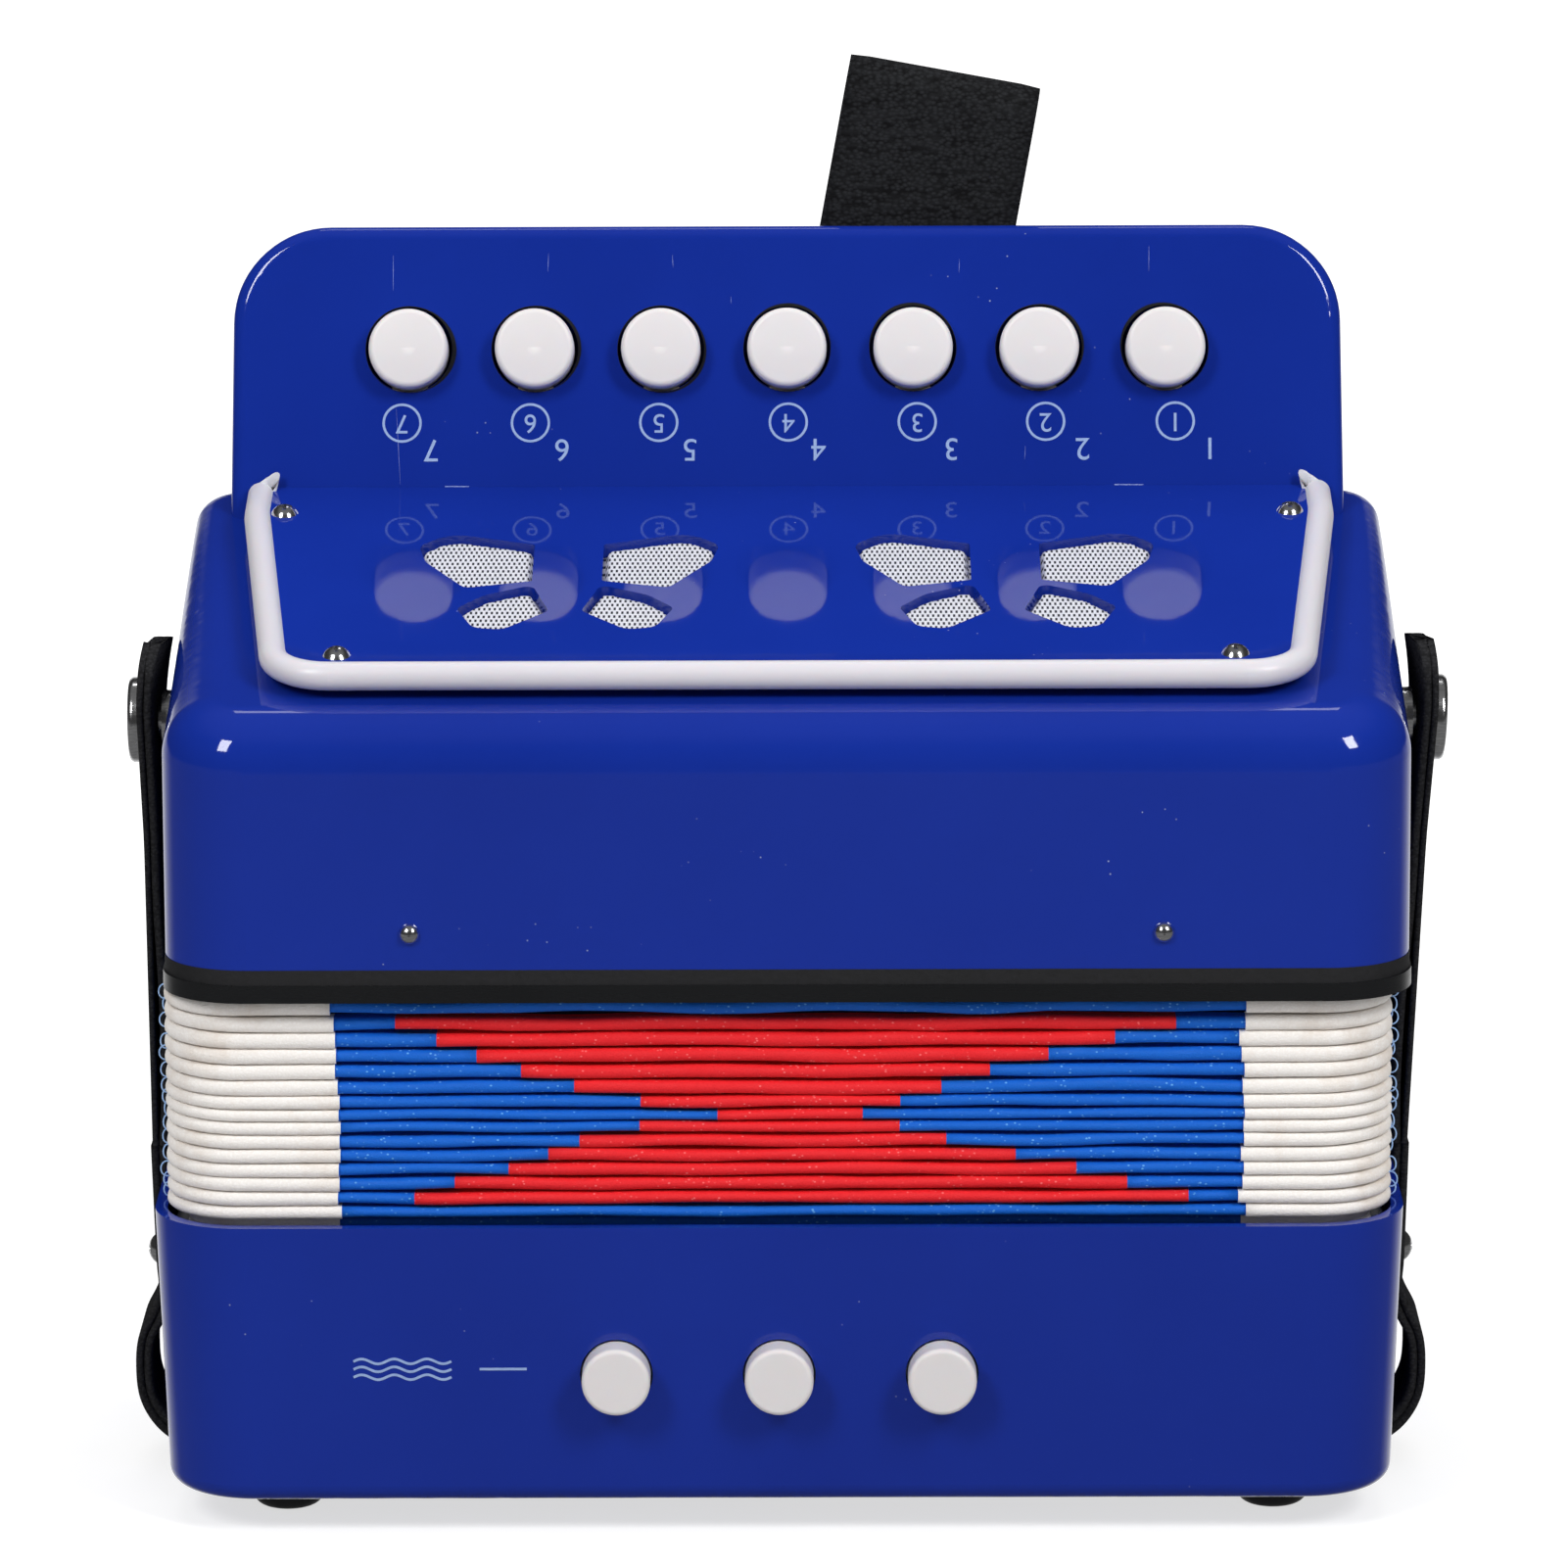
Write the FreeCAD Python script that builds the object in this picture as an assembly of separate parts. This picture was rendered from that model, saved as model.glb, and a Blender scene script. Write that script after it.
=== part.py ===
import FreeCAD, Part
import math
import os

V = FreeCAD.Vector
ORIGIN = V(0, 0, 0)
X_WAY = V(1, 0, 0)
Y_WAY = V(0, 1, 0)
Z_WAY = V(0, 0, 1)

# A toy button accordion that stands on its bass end, with its bellows strapped shut.
# X runs along the keyboard, Y from the front to the back, Z up. Millimetres.
# While it is built, Y is zero at the front of the treble casing, and X at its middle. The
# strapped bass end stands a little to the left of the treble end, by the end shift.

# Driving sizes
case_width = 203.0
case_depth = 108.0
case_corner_radius = 14.0
back_corner_radius = 8.0
case_wall = 2.2
case_front_height = 40.6
top_slope = 10.7
shoulder_radius = 10.0
back_shoulder_radius = 5.0
foot_height = 5.8
bass_height = 47.0
rim_overhang = 1.0
bellows_show = 37.5
end_shift = 1.45
frame_band_height = 2.9
gasket_band_height = 2.5
board_lean = 15.0
board_height = 44.7
board_side_margin = 6.5
board_set_back = 16.0
panel_raise = 4.9

# Clearances
slip = 0.05
seat_gap = 0.2
soft_gap = 0.3
overrun = 1.0

# Levels
floor_level = foot_height
rim_level = floor_level + bass_height
band_level = rim_level + bellows_show
gasket_level = band_level + frame_band_height
case_level = gasket_level + gasket_band_height
front_top_level = case_level + case_front_height
case_half = case_width / 2
mid_depth = case_depth / 2
hinge_depth = case_depth - board_set_back
board_half = case_half - board_side_margin

# Slopes
slope = math.radians(top_slope)
lean = math.radians(board_lean)


def top_level(depth):
    """Height of the casing's sloping top over a given depth."""
    return front_top_level + depth * math.tan(slope)


# Drawing helpers

def rounded_outline(corners, radii):
    """Closed wire through flat corner points, each rounded by its own radius."""
    count = len(corners)
    ins, outs, mids = [], [], []
    for i in range(count):
        here = V(corners[i][0], corners[i][1], 0)
        back = V(corners[i - 1][0], corners[i - 1][1], 0) - here
        ahead = V(corners[(i + 1) % count][0], corners[(i + 1) % count][1], 0) - here
        back.normalize()
        ahead.normalize()
        half = back.getAngle(ahead) / 2
        run = radii[i] / math.tan(half)
        ins.append(here + back * run)
        outs.append(here + ahead * run)
        inward = back + ahead
        if radii[i] > 0:
            inward.normalize()
            mids.append(here + inward * (radii[i] / math.sin(half) - radii[i]))
        else:
            mids.append(None)
    edges = []
    for i in range(count):
        if mids[i] is not None:
            edges.append(Part.Arc(ins[i], mids[i], outs[i]).toShape())
        following = ins[(i + 1) % count]
        if (following - outs[i]).Length > slip / 10:
            edges.append(Part.LineSegment(outs[i], following).toShape())
    return Part.Wire(edges)


def flat_solid(wire, thickness, holes=()):
    """Solid of a flat outline in X and Y, raised along Z."""
    face = Part.Face([wire] + list(holes)) if holes else Part.Face(wire)
    return face.extrude(V(0, 0, thickness))


def rectangle(half_width, near, far, radius, back_radius=None):
    """Rounded rectangle in plan, whose back corners may have a radius of their own."""
    corners = [(-half_width, near), (half_width, near), (half_width, far), (-half_width, far)]
    back = radius if back_radius is None else back_radius
    return rounded_outline(corners, [radius, radius, back, back])


def block(half_width, near, far, radius, bottom, top, back_radius=None):
    """Rounded rectangular block between two levels."""
    solid = flat_solid(rectangle(half_width, near, far, radius, back_radius), top - bottom)
    solid.translate(V(0, 0, bottom))
    return solid


def box(x_low, x_high, y_low, y_high, z_low, z_high):
    """Plain box between two corners."""
    return Part.makeBox(x_high - x_low, y_high - y_low, z_high - z_low, V(x_low, y_low, z_low))


def eased(body, edge_radii):
    """Body with numbered edges rounded, each from its first radius to its second."""
    work = FreeCAD.newDocument("easing")
    base = work.addObject("Part::Feature", "base")
    base.Shape = body
    rounding = work.addObject("Part::Fillet", "rounding")
    rounding.Base = base
    rounding.Edges = edge_radii
    work.recompute()
    result = rounding.Shape.Solids[0].copy()
    FreeCAD.closeDocument(work.Name)
    return result


def fused(solids):
    """One solid made of several that overlap."""
    body = solids[0]
    if len(solids) > 1:
        body = body.fuse(solids[1:])
    return body.removeSplitter()


def band_outline(route, turns, thickness):
    """Closed outline of a strip that follows a route, with rounded turns."""
    half = thickness / 2
    ways = []
    for i in range(len(route) - 1):
        way = V(route[i + 1][0] - route[i][0], route[i + 1][1] - route[i][1], 0)
        way.normalize()
        ways.append(way)
    sides = []
    for sign in (1, -1):
        points, radii = [], []
        for i, place in enumerate(route):
            here = V(place[0], place[1], 0)
            if i == 0 or i == len(route) - 1:
                way = ways[0] if i == 0 else ways[-1]
                points.append(here + V(-way.y, way.x, 0) * (half * sign))
                radii.append(0)
                continue
            first, second = ways[i - 1], ways[i]
            normal = V(-first.y, first.x, 0) + V(-second.y, second.x, 0)
            normal.normalize()
            stretch = half / normal.dot(V(-first.y, first.x, 0))
            points.append(here + normal * (stretch * sign))
            left_turn = first.x * second.y - first.y * second.x > 0
            radii.append(turns[i - 1] - half if left_turn == (sign > 0) else turns[i - 1] + half)
        sides.append((points, radii))
    points = sides[0][0] + sides[1][0][::-1]
    radii = sides[0][1] + sides[1][1][::-1]
    return rounded_outline([(p.x, p.y) for p in points], radii)


def across_y(solid, width):
    """Turn a solid drawn in X and Z (as X and Y) so that it spans the depth."""
    solid.rotate(ORIGIN, X_WAY, 90)
    solid.translate(V(0, width / 2, 0))
    return solid


def across_x(solid, width):
    """Turn a solid drawn in Y and Z (as X and Y) so that it spans the width."""
    solid.rotate(ORIGIN, V(1, 1, 1), 120)
    solid.translate(V(-width / 2, 0, 0))
    return solid


def on_top(solid):
    """Carry a solid drawn flat onto the casing's sloping top, at the hinge line."""
    solid.rotate(ORIGIN, X_WAY, top_slope)
    solid.translate(V(0, hinge_depth, top_level(hinge_depth)))
    return solid


panel_foot = top_level(hinge_depth) + panel_raise / math.cos(slope)


def on_board(solid):
    """Carry a solid drawn upright onto the leaning fingerboard, at the panel's line."""
    solid.rotate(ORIGIN, X_WAY, -board_lean)
    solid.translate(V(0, hinge_depth, panel_foot))
    return solid


def board_point(up, behind):
    """Place in depth and height of a point on the leaning fingerboard."""
    depth = hinge_depth + up * math.sin(lean) + behind * math.cos(lean)
    return depth, panel_foot + up * math.cos(lean) - behind * math.sin(lean)


def pan_screw(head_radius, head_height, shank_radius, shank_length, recess_width, recess_reach):
    """Screw that points down, with its head's seat at the origin and a cross recess."""
    dome = (head_radius ** 2 + head_height ** 2) / (2 * head_height)
    ball = Part.makeSphere(dome, V(0, 0, head_height - dome))
    head = Part.makeCylinder(head_radius, head_height).common(ball)
    depth = head_height * recess_depth_share
    for turn in (0, 90):
        slot = box(-recess_reach, recess_reach, -recess_width / 2, recess_width / 2,
                   head_height - depth, head_height + overrun)
        slot.rotate(ORIGIN, Z_WAY, turn)
        head = head.cut(slot)
    shank = Part.makeCylinder(shank_radius, shank_length, V(0, 0, -shank_length))
    return fused([head, shank])


recess_depth_share = 0.55


# Treble casing

def shoulder_at(depth, inset):
    """Radius of the top's rounded edge, large at the front and small at the back."""
    return (shoulder_radius if depth < mid_depth else back_shoulder_radius) - inset


def casing_block(inset, bottom):
    """The casing's outer form, drawn in by an inset on every side and on top."""
    body = block(case_half - inset, inset, case_depth - inset, case_corner_radius - inset, bottom,
                 top_level(2 * case_depth), back_corner_radius - inset)
    cutter = box(-case_width, case_width, -case_depth, 2 * case_depth, 0, case_width)
    cutter.rotate(ORIGIN, X_WAY, top_slope)
    cutter.translate(V(0, 0, front_top_level - inset / math.cos(slope)))
    body = body.cut(cutter)
    edge_radii = []
    for number, edge in enumerate(body.Edges, 1):
        middle = edge.BoundBox.Center
        if edge.BoundBox.ZMin > bottom + case_front_height / 2:
            if middle.z > top_level(middle.y) - inset / math.cos(slope) - shoulder_radius / 2:
                start = edge.valueAt(edge.FirstParameter)
                end = edge.valueAt(edge.LastParameter)
                edge_radii.append((number, shoulder_at(start.y, inset), shoulder_at(end.y, inset)))
    return eased(body, edge_radii)


# Grille panel sizes, on the sloping top, measured back from the hinge line
panel_thickness = 2.4
panel_back_margin = 11.6
panel_front_margin = 10.1
panel_taper = 6.9
panel_side_shift = 0.3
panel_knee = 11.0
panel_back_half = case_half - panel_back_margin
panel_front_half = panel_back_half - panel_taper
panel_length = hinge_depth - panel_front_margin
panel_corner_radius = 9.5
panel_knee_radius = 30.0
panel_edge_in_tube = 0.6
panel_skirt_inset = 3.2
panel_skirt_wall = 1.6
panel_boss_radius = 2.6
tube_radius = 2.35
chamber_front_margin = 11.9
chamber_back_margin = 10.0
chamber_side_margin = 29.5
chamber_half_width = case_half - chamber_side_margin
chamber_corner_radius = 5.0
grille_screw_back_inset = 4.85
grille_screw_back_half = panel_back_half - grille_screw_back_inset
grille_screw_back = 11.5
grille_screw_front_inset = 10.0
grille_screw_front_half = panel_front_half - grille_screw_front_inset
grille_screw_front_margin = 6.1
grille_screw_front = panel_length - grille_screw_front_margin
grille_head_radius = 2.3
grille_head_height = 1.5
grille_shank_radius = 1.2
grille_shank_length = 8.0
grille_recess_width = 0.7
grille_recess_reach = 1.3
case_boss_radius = 3.2
grille_places = [(grille_screw_back_half * side, -grille_screw_back) for side in (-1, 1)]
grille_places += [(grille_screw_front_half * side, -grille_screw_front) for side in (-1, 1)]

# Fingerboard sizes, measured up the board from the panel's line
board_wall = 2.4
board_base = 5.4
board_taper = 0.6
board_corner_radius = 16.7
board_edge_radius = 2.4
cover_thickness = 2.0
cover_lean = 5.0
cover_set_in = 1.2
cover_foot_depth = case_depth - cover_set_in

# Treble keys
key_count = 7
key_end_margin = 37.0
key_pitch = (case_width - 2 * key_end_margin) / (key_count - 1)
button_up = 23.5
button_radius = 6.75
button_gap = 0.65
button_stand = 4.6
button_dome = 0.4
button_edge = 1.0
button_tail = 3.2
key_travel = 3.2
axle_drop = 20.8
lever_thickness = 1.8
lever_width = 6.0
axle_radius = 1.5
hub_radius = 3.6
hub_length_share = 0.42
hub_length = key_pitch * hub_length_share
pallet_length = 26.0
pallet_gap = 5.5
pallet_width = key_pitch - pallet_gap
pallet_thickness = 2.2
pad_thickness = 3.2
pallet_back = 18.0
bracket_thickness = 3.0
bracket_half_depth = 4.0
lever_behind = button_tail + lever_thickness / 2
axle_depth, axle_level = board_point(-axle_drop, lever_behind)
arm_bottom = axle_level - hub_radius
soundboard_top = arm_bottom - pallet_thickness - pad_thickness
button_lift = button_up + axle_drop
key_swing = key_travel / button_lift
key_places = [(i - (key_count - 1) / 2) * key_pitch for i in range(key_count)]
pallet_far = axle_depth - pallet_back - pallet_length
slot_front = board_point(-board_base, board_wall)[0]
slot_back_margin = 4.5
slot_half_width = key_places[-1] + lever_width

# Treble soundboard, reeds and springs
soundboard_thickness = 3.0
soundhole_length = 18.0
soundhole_width = 9.0
reed_block_height = 15.0
reed_wall = 1.6
reed_plate_thickness = 0.9
reed_slot_width = 2.2
reed_slot_length = 9.0
reed_tongue_thickness = 0.3
reed_tongue_play = 0.2
reed_rivet_radius = 0.8
spring_wire = 0.8
spring_outer = 2.7
spring_length = key_pitch / 2 - hub_length / 2 - bracket_thickness / 2 - 2 * soft_gap
spring_leg = 9.0
hanger_radius = 4.0

# Small self-tapping screws, all alike
screw_head_radius = 2.6
screw_head_height = 1.6
screw_shank_radius = 1.3
screw_shank_length = 7.0
screw_recess_width = 0.7
screw_recess_reach = 1.5

# Pins that hold the bellows frame in the casing
pin_side_margin = 40.5
pin_half_span = case_half - pin_side_margin
pin_height = 6.0
pin_head_radius = 1.75
pin_head_height = 1.3
pin_shank_radius = 0.9
flange_wall = 2.5
flange_height = 10.0
pin_length = case_wall + soft_gap + flange_wall
pin_level = case_level + pin_height

# Bellows
fold_count = 17
fold_depth = 13.5
fold_notch = 1.1
fold_crest_share = 0.52
bellows_inset = 3.0
bellows_side_inset = 1.7
bellows_corner_radius = 13.0
lower_frame_height = 5.0
lower_frame_width = 9.0
bass_board_thickness = 3.0
ledge_drop = 13.0

# Snap fasteners on the sides
snap_level_drop = 9.4
snap_radius = 7.15
strap_stand = 3.4
stud_base_radius = 5.0
stud_base_height = 2.4
stud_tip_radius = 2.6
snap_level = front_top_level - snap_level_drop
strap_forward = 4.0
strap_middle = mid_depth - strap_forward


def treble_casing():
    """Moulded shell, open below, with openings for the valves and the key levers."""
    shell = casing_block(0, case_level).cut(casing_block(case_wall, case_level - overrun))
    chamber = rectangle(chamber_half_width, -panel_length + chamber_front_margin, -chamber_back_margin,
                        chamber_corner_radius)
    chamber = flat_solid(chamber, 2 * case_wall + 2 * overrun)
    chamber.translate(V(0, 0, -2 * case_wall - overrun))
    shell = shell.cut(on_top(chamber))
    slot = box(-slot_half_width, slot_half_width, slot_front, cover_foot_depth - slot_back_margin,
               case_level + case_front_height / 2, top_level(2 * case_depth))
    shell = shell.cut(slot)
    bosses, holes = [], []
    for x, d in grille_places:
        post = Part.makeCylinder(case_boss_radius, grille_shank_length, V(x, d, -grille_shank_length))
        bosses.append(on_top(post))
        hole = Part.makeCylinder(grille_shank_radius + slip, grille_shank_length,
                                 V(x, d, overrun - grille_shank_length))
        holes.append(on_top(hole))
    for x, y in hanger_places:
        bottom = soundboard_top
        bosses.append(Part.makeCylinder(hanger_radius, top_level(y) - case_wall / 2 - bottom, V(x, y, bottom)))
        holes.append(Part.makeCylinder(screw_shank_radius + slip, screw_shank_length,
                                       V(x, y, bottom - overrun)))
    inner = casing_block(case_wall / 2, case_level)
    shell = fused([shell] + [boss.common(inner) for boss in bosses])
    for x in (-pin_half_span, pin_half_span):
        holes.append(Part.makeCylinder(pin_shank_radius + slip, case_depth + 2 * overrun,
                                       V(x, -overrun, pin_level), Y_WAY))
    holes.append(Part.makeCylinder(stud_tip_radius / 2 + slip, case_width + 2 * overrun,
                                   V(-case_half - overrun, strap_middle, snap_level), X_WAY))
    return shell.cut(holes)


hanger_side_margin = 14.0
hanger_front_margin = 14.0
hanger_places = [(side * (case_half - hanger_side_margin), y) for side in (-1, 1)
                 for y in (hanger_front_margin + case_wall, mid_depth)]


# Grille panel with its two groups of petal openings

petal_group_share = 0.439
petal_reach_share = 0.2916
petal_group_half_span = panel_front_half * petal_group_share
petal_reach = panel_front_half * petal_reach_share
upper_petal_shares = [(0.24, -1.10), (0.54, -0.99), (0.83, -0.885), (1.04, -1.12), (0.985, -1.42),
                      (0.70, -1.91), (0.24, -1.785)]
upper_petal_radius_shares = [0.03, 0.50, 0.22, 0.15, 0.20, 0.07, 0.03]
lower_petal_shares = [(0.235, -1.86), (0.56, -2.05), (0.74, -2.29), (0.62, -2.64), (0.42, -2.68),
                      (0.11, -2.34)]
lower_petal_radius_shares = [0.06, 0.25, 0.10, 0.12, 0.12, 0.08]
petals = [(upper_petal_shares, upper_petal_radius_shares), (lower_petal_shares, lower_petal_radius_shares)]


def panel_outline(inset):
    """The panel's tapering outline on the sloping top."""
    front = -panel_length + inset
    back_half = panel_back_half - inset
    front_half = panel_front_half - inset
    corners = [(-front_half, front), (front_half, front), (back_half, -panel_knee), (back_half, -inset),
               (-back_half, -inset), (-back_half, -panel_knee)]
    corners = [(x + panel_side_shift, y) for x, y in corners]
    radius = panel_corner_radius - inset
    return rounded_outline(corners, [radius, radius, panel_knee_radius, 0, 0, panel_knee_radius])


def petal_openings(height):
    """The eight petal-shaped openings, as cutters."""
    cutters = []
    for middle in (-petal_group_half_span, petal_group_half_span):
        for side in (-1, 1):
            for shares, radius_shares in petals:
                corners = [(middle + side * petal_reach * u, petal_reach * v) for u, v in shares]
                radii = [petal_reach * share for share in radius_shares]
                cutter = flat_solid(rounded_outline(corners, radii), height)
                cutter.translate(V(0, 0, -overrun))
                cutters.append(cutter)
    return cutters


def panel_back_cut():
    """Everything that lies behind the fingerboard's front face."""
    cutter = box(-case_width, case_width, -seat_gap, case_depth, -case_depth, case_depth)
    return on_board(cutter)


def grille_panel():
    """Raised plate on a low skirt, with petal openings and screw bosses."""
    plate_bottom = panel_raise - panel_thickness
    plate = flat_solid(panel_outline(-panel_edge_in_tube), panel_thickness)
    plate.translate(V(0, 0, plate_bottom))
    skirt = flat_solid(panel_outline(panel_skirt_inset), plate_bottom)
    skirt_hollow = flat_solid(panel_outline(panel_skirt_inset + panel_skirt_wall), plate_bottom)
    parts = [plate, skirt.cut(skirt_hollow)]
    holes = petal_openings(panel_raise + 2 * overrun)
    for x, d in grille_places:
        parts.append(Part.makeCylinder(panel_boss_radius, plate_bottom, V(x, d, 0)))
        holes.append(Part.makeCylinder(grille_shank_radius + slip, panel_raise + 2 * overrun,
                                       V(x, d, -overrun)))
    panel = on_top(fused(parts).cut(holes))
    return panel.cut(panel_back_cut())


def panel_plate_only():
    """The plate alone, which the piping's slit takes."""
    plate = flat_solid(panel_outline(-panel_edge_in_tube), panel_thickness)
    plate.translate(V(0, 0, panel_raise - panel_thickness))
    return plate


def trim_tube():
    """Round piping pushed over the panel's front and side edges."""
    level = panel_raise - panel_thickness / 2
    outline = panel_outline(0)
    outline.translate(V(0, 0, level))
    edges = [edge for edge in outline.Edges if edge.BoundBox.YMin < -slip]
    path = Part.Wire(Part.__sortEdges__(edges))
    start = path.OrderedVertexes[0].Point
    way = path.OrderedEdges[0].tangentAt(path.OrderedEdges[0].FirstParameter)
    ring = Part.Wire([Part.makeCircle(tube_radius, start, way)])
    tube = path.makePipeShell([ring], True, False)
    tube = tube.cut(panel_plate_only())
    return on_top(tube).cut(panel_back_cut())


mesh_side_margin = 17.0
mesh_half_width = panel_front_half - mesh_side_margin
mesh_front_margin = 10.9
mesh_back_margin = 14.0
mesh_thickness = 0.6


def mesh_cloth():
    """Sheet of grille cloth under the panel."""
    wire = rectangle(mesh_half_width, -panel_length + mesh_front_margin, -mesh_back_margin, case_wall)
    cloth = flat_solid(wire, mesh_thickness)
    cloth.translate(V(0, 0, panel_raise - panel_thickness - mesh_thickness))
    return on_top(cloth)


def grille_screws():
    """Four screws that hold the panel down."""
    screws = []
    for x, d in grille_places:
        screw = pan_screw(grille_head_radius, grille_head_height, grille_shank_radius, grille_shank_length,
                          grille_recess_width, grille_recess_reach)
        screw.translate(V(x, d, panel_raise))
        screws.append(on_top(screw))
    return Part.makeCompound(screws)


# Fingerboard housing and its back cover

def board_block(inset):
    """Wedge between the leaning front and the back cover, over the casing's top."""
    top = board_height - inset
    half_top = board_half - board_taper - inset
    half_low = board_half + board_taper * 2 * board_base / board_height - inset
    low = -board_base - case_wall - shoulder_radius
    radius = board_corner_radius - inset
    corners = [(-half_low, low), (half_low, low), (half_top, top), (-half_top, top)]
    wire = rounded_outline(corners, [0, 0, radius, radius])
    body = flat_solid(wire, board_height)
    body.rotate(ORIGIN, X_WAY, 90)
    body.translate(V(0, board_height + inset, 0))
    if inset == 0:
        rim = [edge for edge in body.Edges if edge.BoundBox.YMax < slip and edge.BoundBox.ZMax > low + slip]
        body = body.makeFillet(board_edge_radius, rim)
    return on_board(body)


def behind_cover(offset):
    """Everything behind the back cover's plane, shifted forward by an offset."""
    cutter = box(-case_width, case_width, -offset, case_depth, -case_depth, case_depth)
    cutter.rotate(ORIGIN, X_WAY, -cover_lean)
    cutter.translate(V(0, cover_foot_depth, top_level(hinge_depth)))
    return cutter


cover_screw_side_margin = 11.0
cover_screw_half_span = board_half - cover_screw_side_margin
cover_screw_up = 30.0
cover_screw_low = 12.0
cover_boss_radius = 3.6
cover_screw_places = [(side * cover_screw_half_span, up) for side in (-1, 1)
                      for up in (cover_screw_low, cover_screw_up)]


def on_cover(solid):
    """Carry a solid drawn upright, back side out, onto the back cover's outer face."""
    solid.rotate(ORIGIN, X_WAY, -cover_lean)
    solid.translate(V(0, cover_foot_depth, top_level(hinge_depth)))
    return solid


def fingerboard():
    """Moulded housing whose leaning front carries the buttons' holes."""
    outer = board_block(0)
    body = outer.cut([board_block(board_wall), behind_cover(cover_thickness)])
    posts = []
    for x, up in cover_screw_places:
        post = Part.makeCylinder(cover_boss_radius, case_depth, V(x, -cover_thickness, up), V(0, -1, 0))
        posts.append(on_cover(post).common(outer))
    body = fused([body] + posts)
    cutters = [casing_block(0, case_level)]
    for x in key_places:
        hole = Part.makeCylinder(button_radius + button_gap, 2 * board_wall, V(x, -overrun, button_up), Y_WAY)
        cutters.append(on_board(hole))
    for x, up in cover_screw_places:
        hole = Part.makeCylinder(screw_shank_radius + slip, screw_shank_length, V(x, 0, up), V(0, -1, 0))
        cutters.append(on_cover(hole))
    return body.cut(cutters)


def fingerboard_back():
    """Flat cover that closes the housing from behind."""
    plate = board_block(0).common(behind_cover(cover_thickness)).cut(behind_cover(0))
    cutters = [casing_block(0, case_level)]
    for x, up in cover_screw_places:
        hole = Part.makeCylinder(screw_shank_radius + slip, 2 * screw_shank_length,
                                 V(x, screw_shank_length, up), V(0, -1, 0))
        cutters.append(on_cover(hole))
    for x, up in thumb_screw_places:
        hole = Part.makeCylinder(screw_shank_radius + slip, 2 * screw_shank_length,
                                 V(x, screw_shank_length, up), V(0, -1, 0))
        cutters.append(on_thumb(hole))
    return plate.cut(cutters)


# Thumb strap: a band folded into a tall loop, screwed to the back cover
thumb_width = 33.0
thumb_thickness = 1.6
thumb_height = 71.0
thumb_loop_depth = 15.0
thumb_top_radius = 6.0
thumb_tab = 13.0
thumb_tilt = 10.4
thumb_side = 14.6
thumb_foot_up = 3.6
thumb_belly_share = 0.55
thumb_top_share = 0.9
thumb_neck_share = 0.34
thumb_screw_half_span = 9.0
thumb_screw_places = [(side * thumb_screw_half_span, thumb_tab / 2) for side in (-1, 1)]


def on_thumb(solid):
    """Carry a solid drawn upright onto the back cover where the thumb strap is fixed."""
    solid.rotate(ORIGIN, Y_WAY, thumb_tilt)
    solid.translate(V(thumb_side, 0, thumb_foot_up))
    return on_cover(solid)


def thumb_strap():
    """Loop that stands up behind the fingerboard, both ends under one pair of screws."""
    wall = thumb_thickness
    deep = thumb_loop_depth
    top_back = 2 * thumb_top_radius
    outer = [(0, 0), (2 * wall, 0), (2 * wall, thumb_tab), (deep, thumb_height * thumb_neck_share),
             (deep, thumb_height * thumb_belly_share), (top_back, thumb_height), (0, thumb_height)]
    top_radius = thumb_top_radius * thumb_top_share
    outer_radii = [0, 0, thumb_top_radius, thumb_loop_depth, thumb_loop_depth, top_radius, top_radius]
    inner = [(wall, thumb_tab + wall), (deep - wall, thumb_height * thumb_neck_share + wall),
             (deep - wall, thumb_height * thumb_belly_share), (top_back - wall, thumb_height - wall),
             (wall, thumb_height - wall)]
    inner_radii = [0, thumb_loop_depth - wall, thumb_loop_depth - wall, top_radius - wall, top_radius - wall]
    loop = flat_solid(rounded_outline(outer, outer_radii), thumb_width)
    hollow = flat_solid(rounded_outline(inner, inner_radii), thumb_width)
    strap = across_x(loop.cut(hollow), thumb_width)
    for x, up in thumb_screw_places:
        strap = strap.cut(Part.makeCylinder(screw_shank_radius + slip, 4 * wall, V(x, -wall, up), Y_WAY))
    return on_thumb(strap)


def small_screw():
    """Self-tapping screw used for the cover, the soundboard, the thumb strap and the bass board."""
    return pan_screw(screw_head_radius, screw_head_height, screw_shank_radius, screw_shank_length,
                     screw_recess_width, screw_recess_reach)


def case_screws():
    """Screws of the back cover, the thumb strap and the treble soundboard."""
    screws = []
    for x, up in cover_screw_places:
        screw = small_screw()
        screw.rotate(ORIGIN, X_WAY, -90)
        screw.translate(V(x, 0, up))
        screws.append(on_cover(screw))
    for x, up in thumb_screw_places:
        screw = small_screw()
        screw.rotate(ORIGIN, X_WAY, -90)
        screw.translate(V(x, 2 * thumb_thickness, up))
        screws.append(on_thumb(screw))
    for x, y in hanger_places:
        screw = small_screw()
        screw.rotate(ORIGIN, X_WAY, 180)
        screw.translate(V(x, y, soundboard_top - soundboard_thickness))
        screws.append(screw)
    return Part.makeCompound(screws)


# Treble keys: button, lever with pallet, and pad

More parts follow.
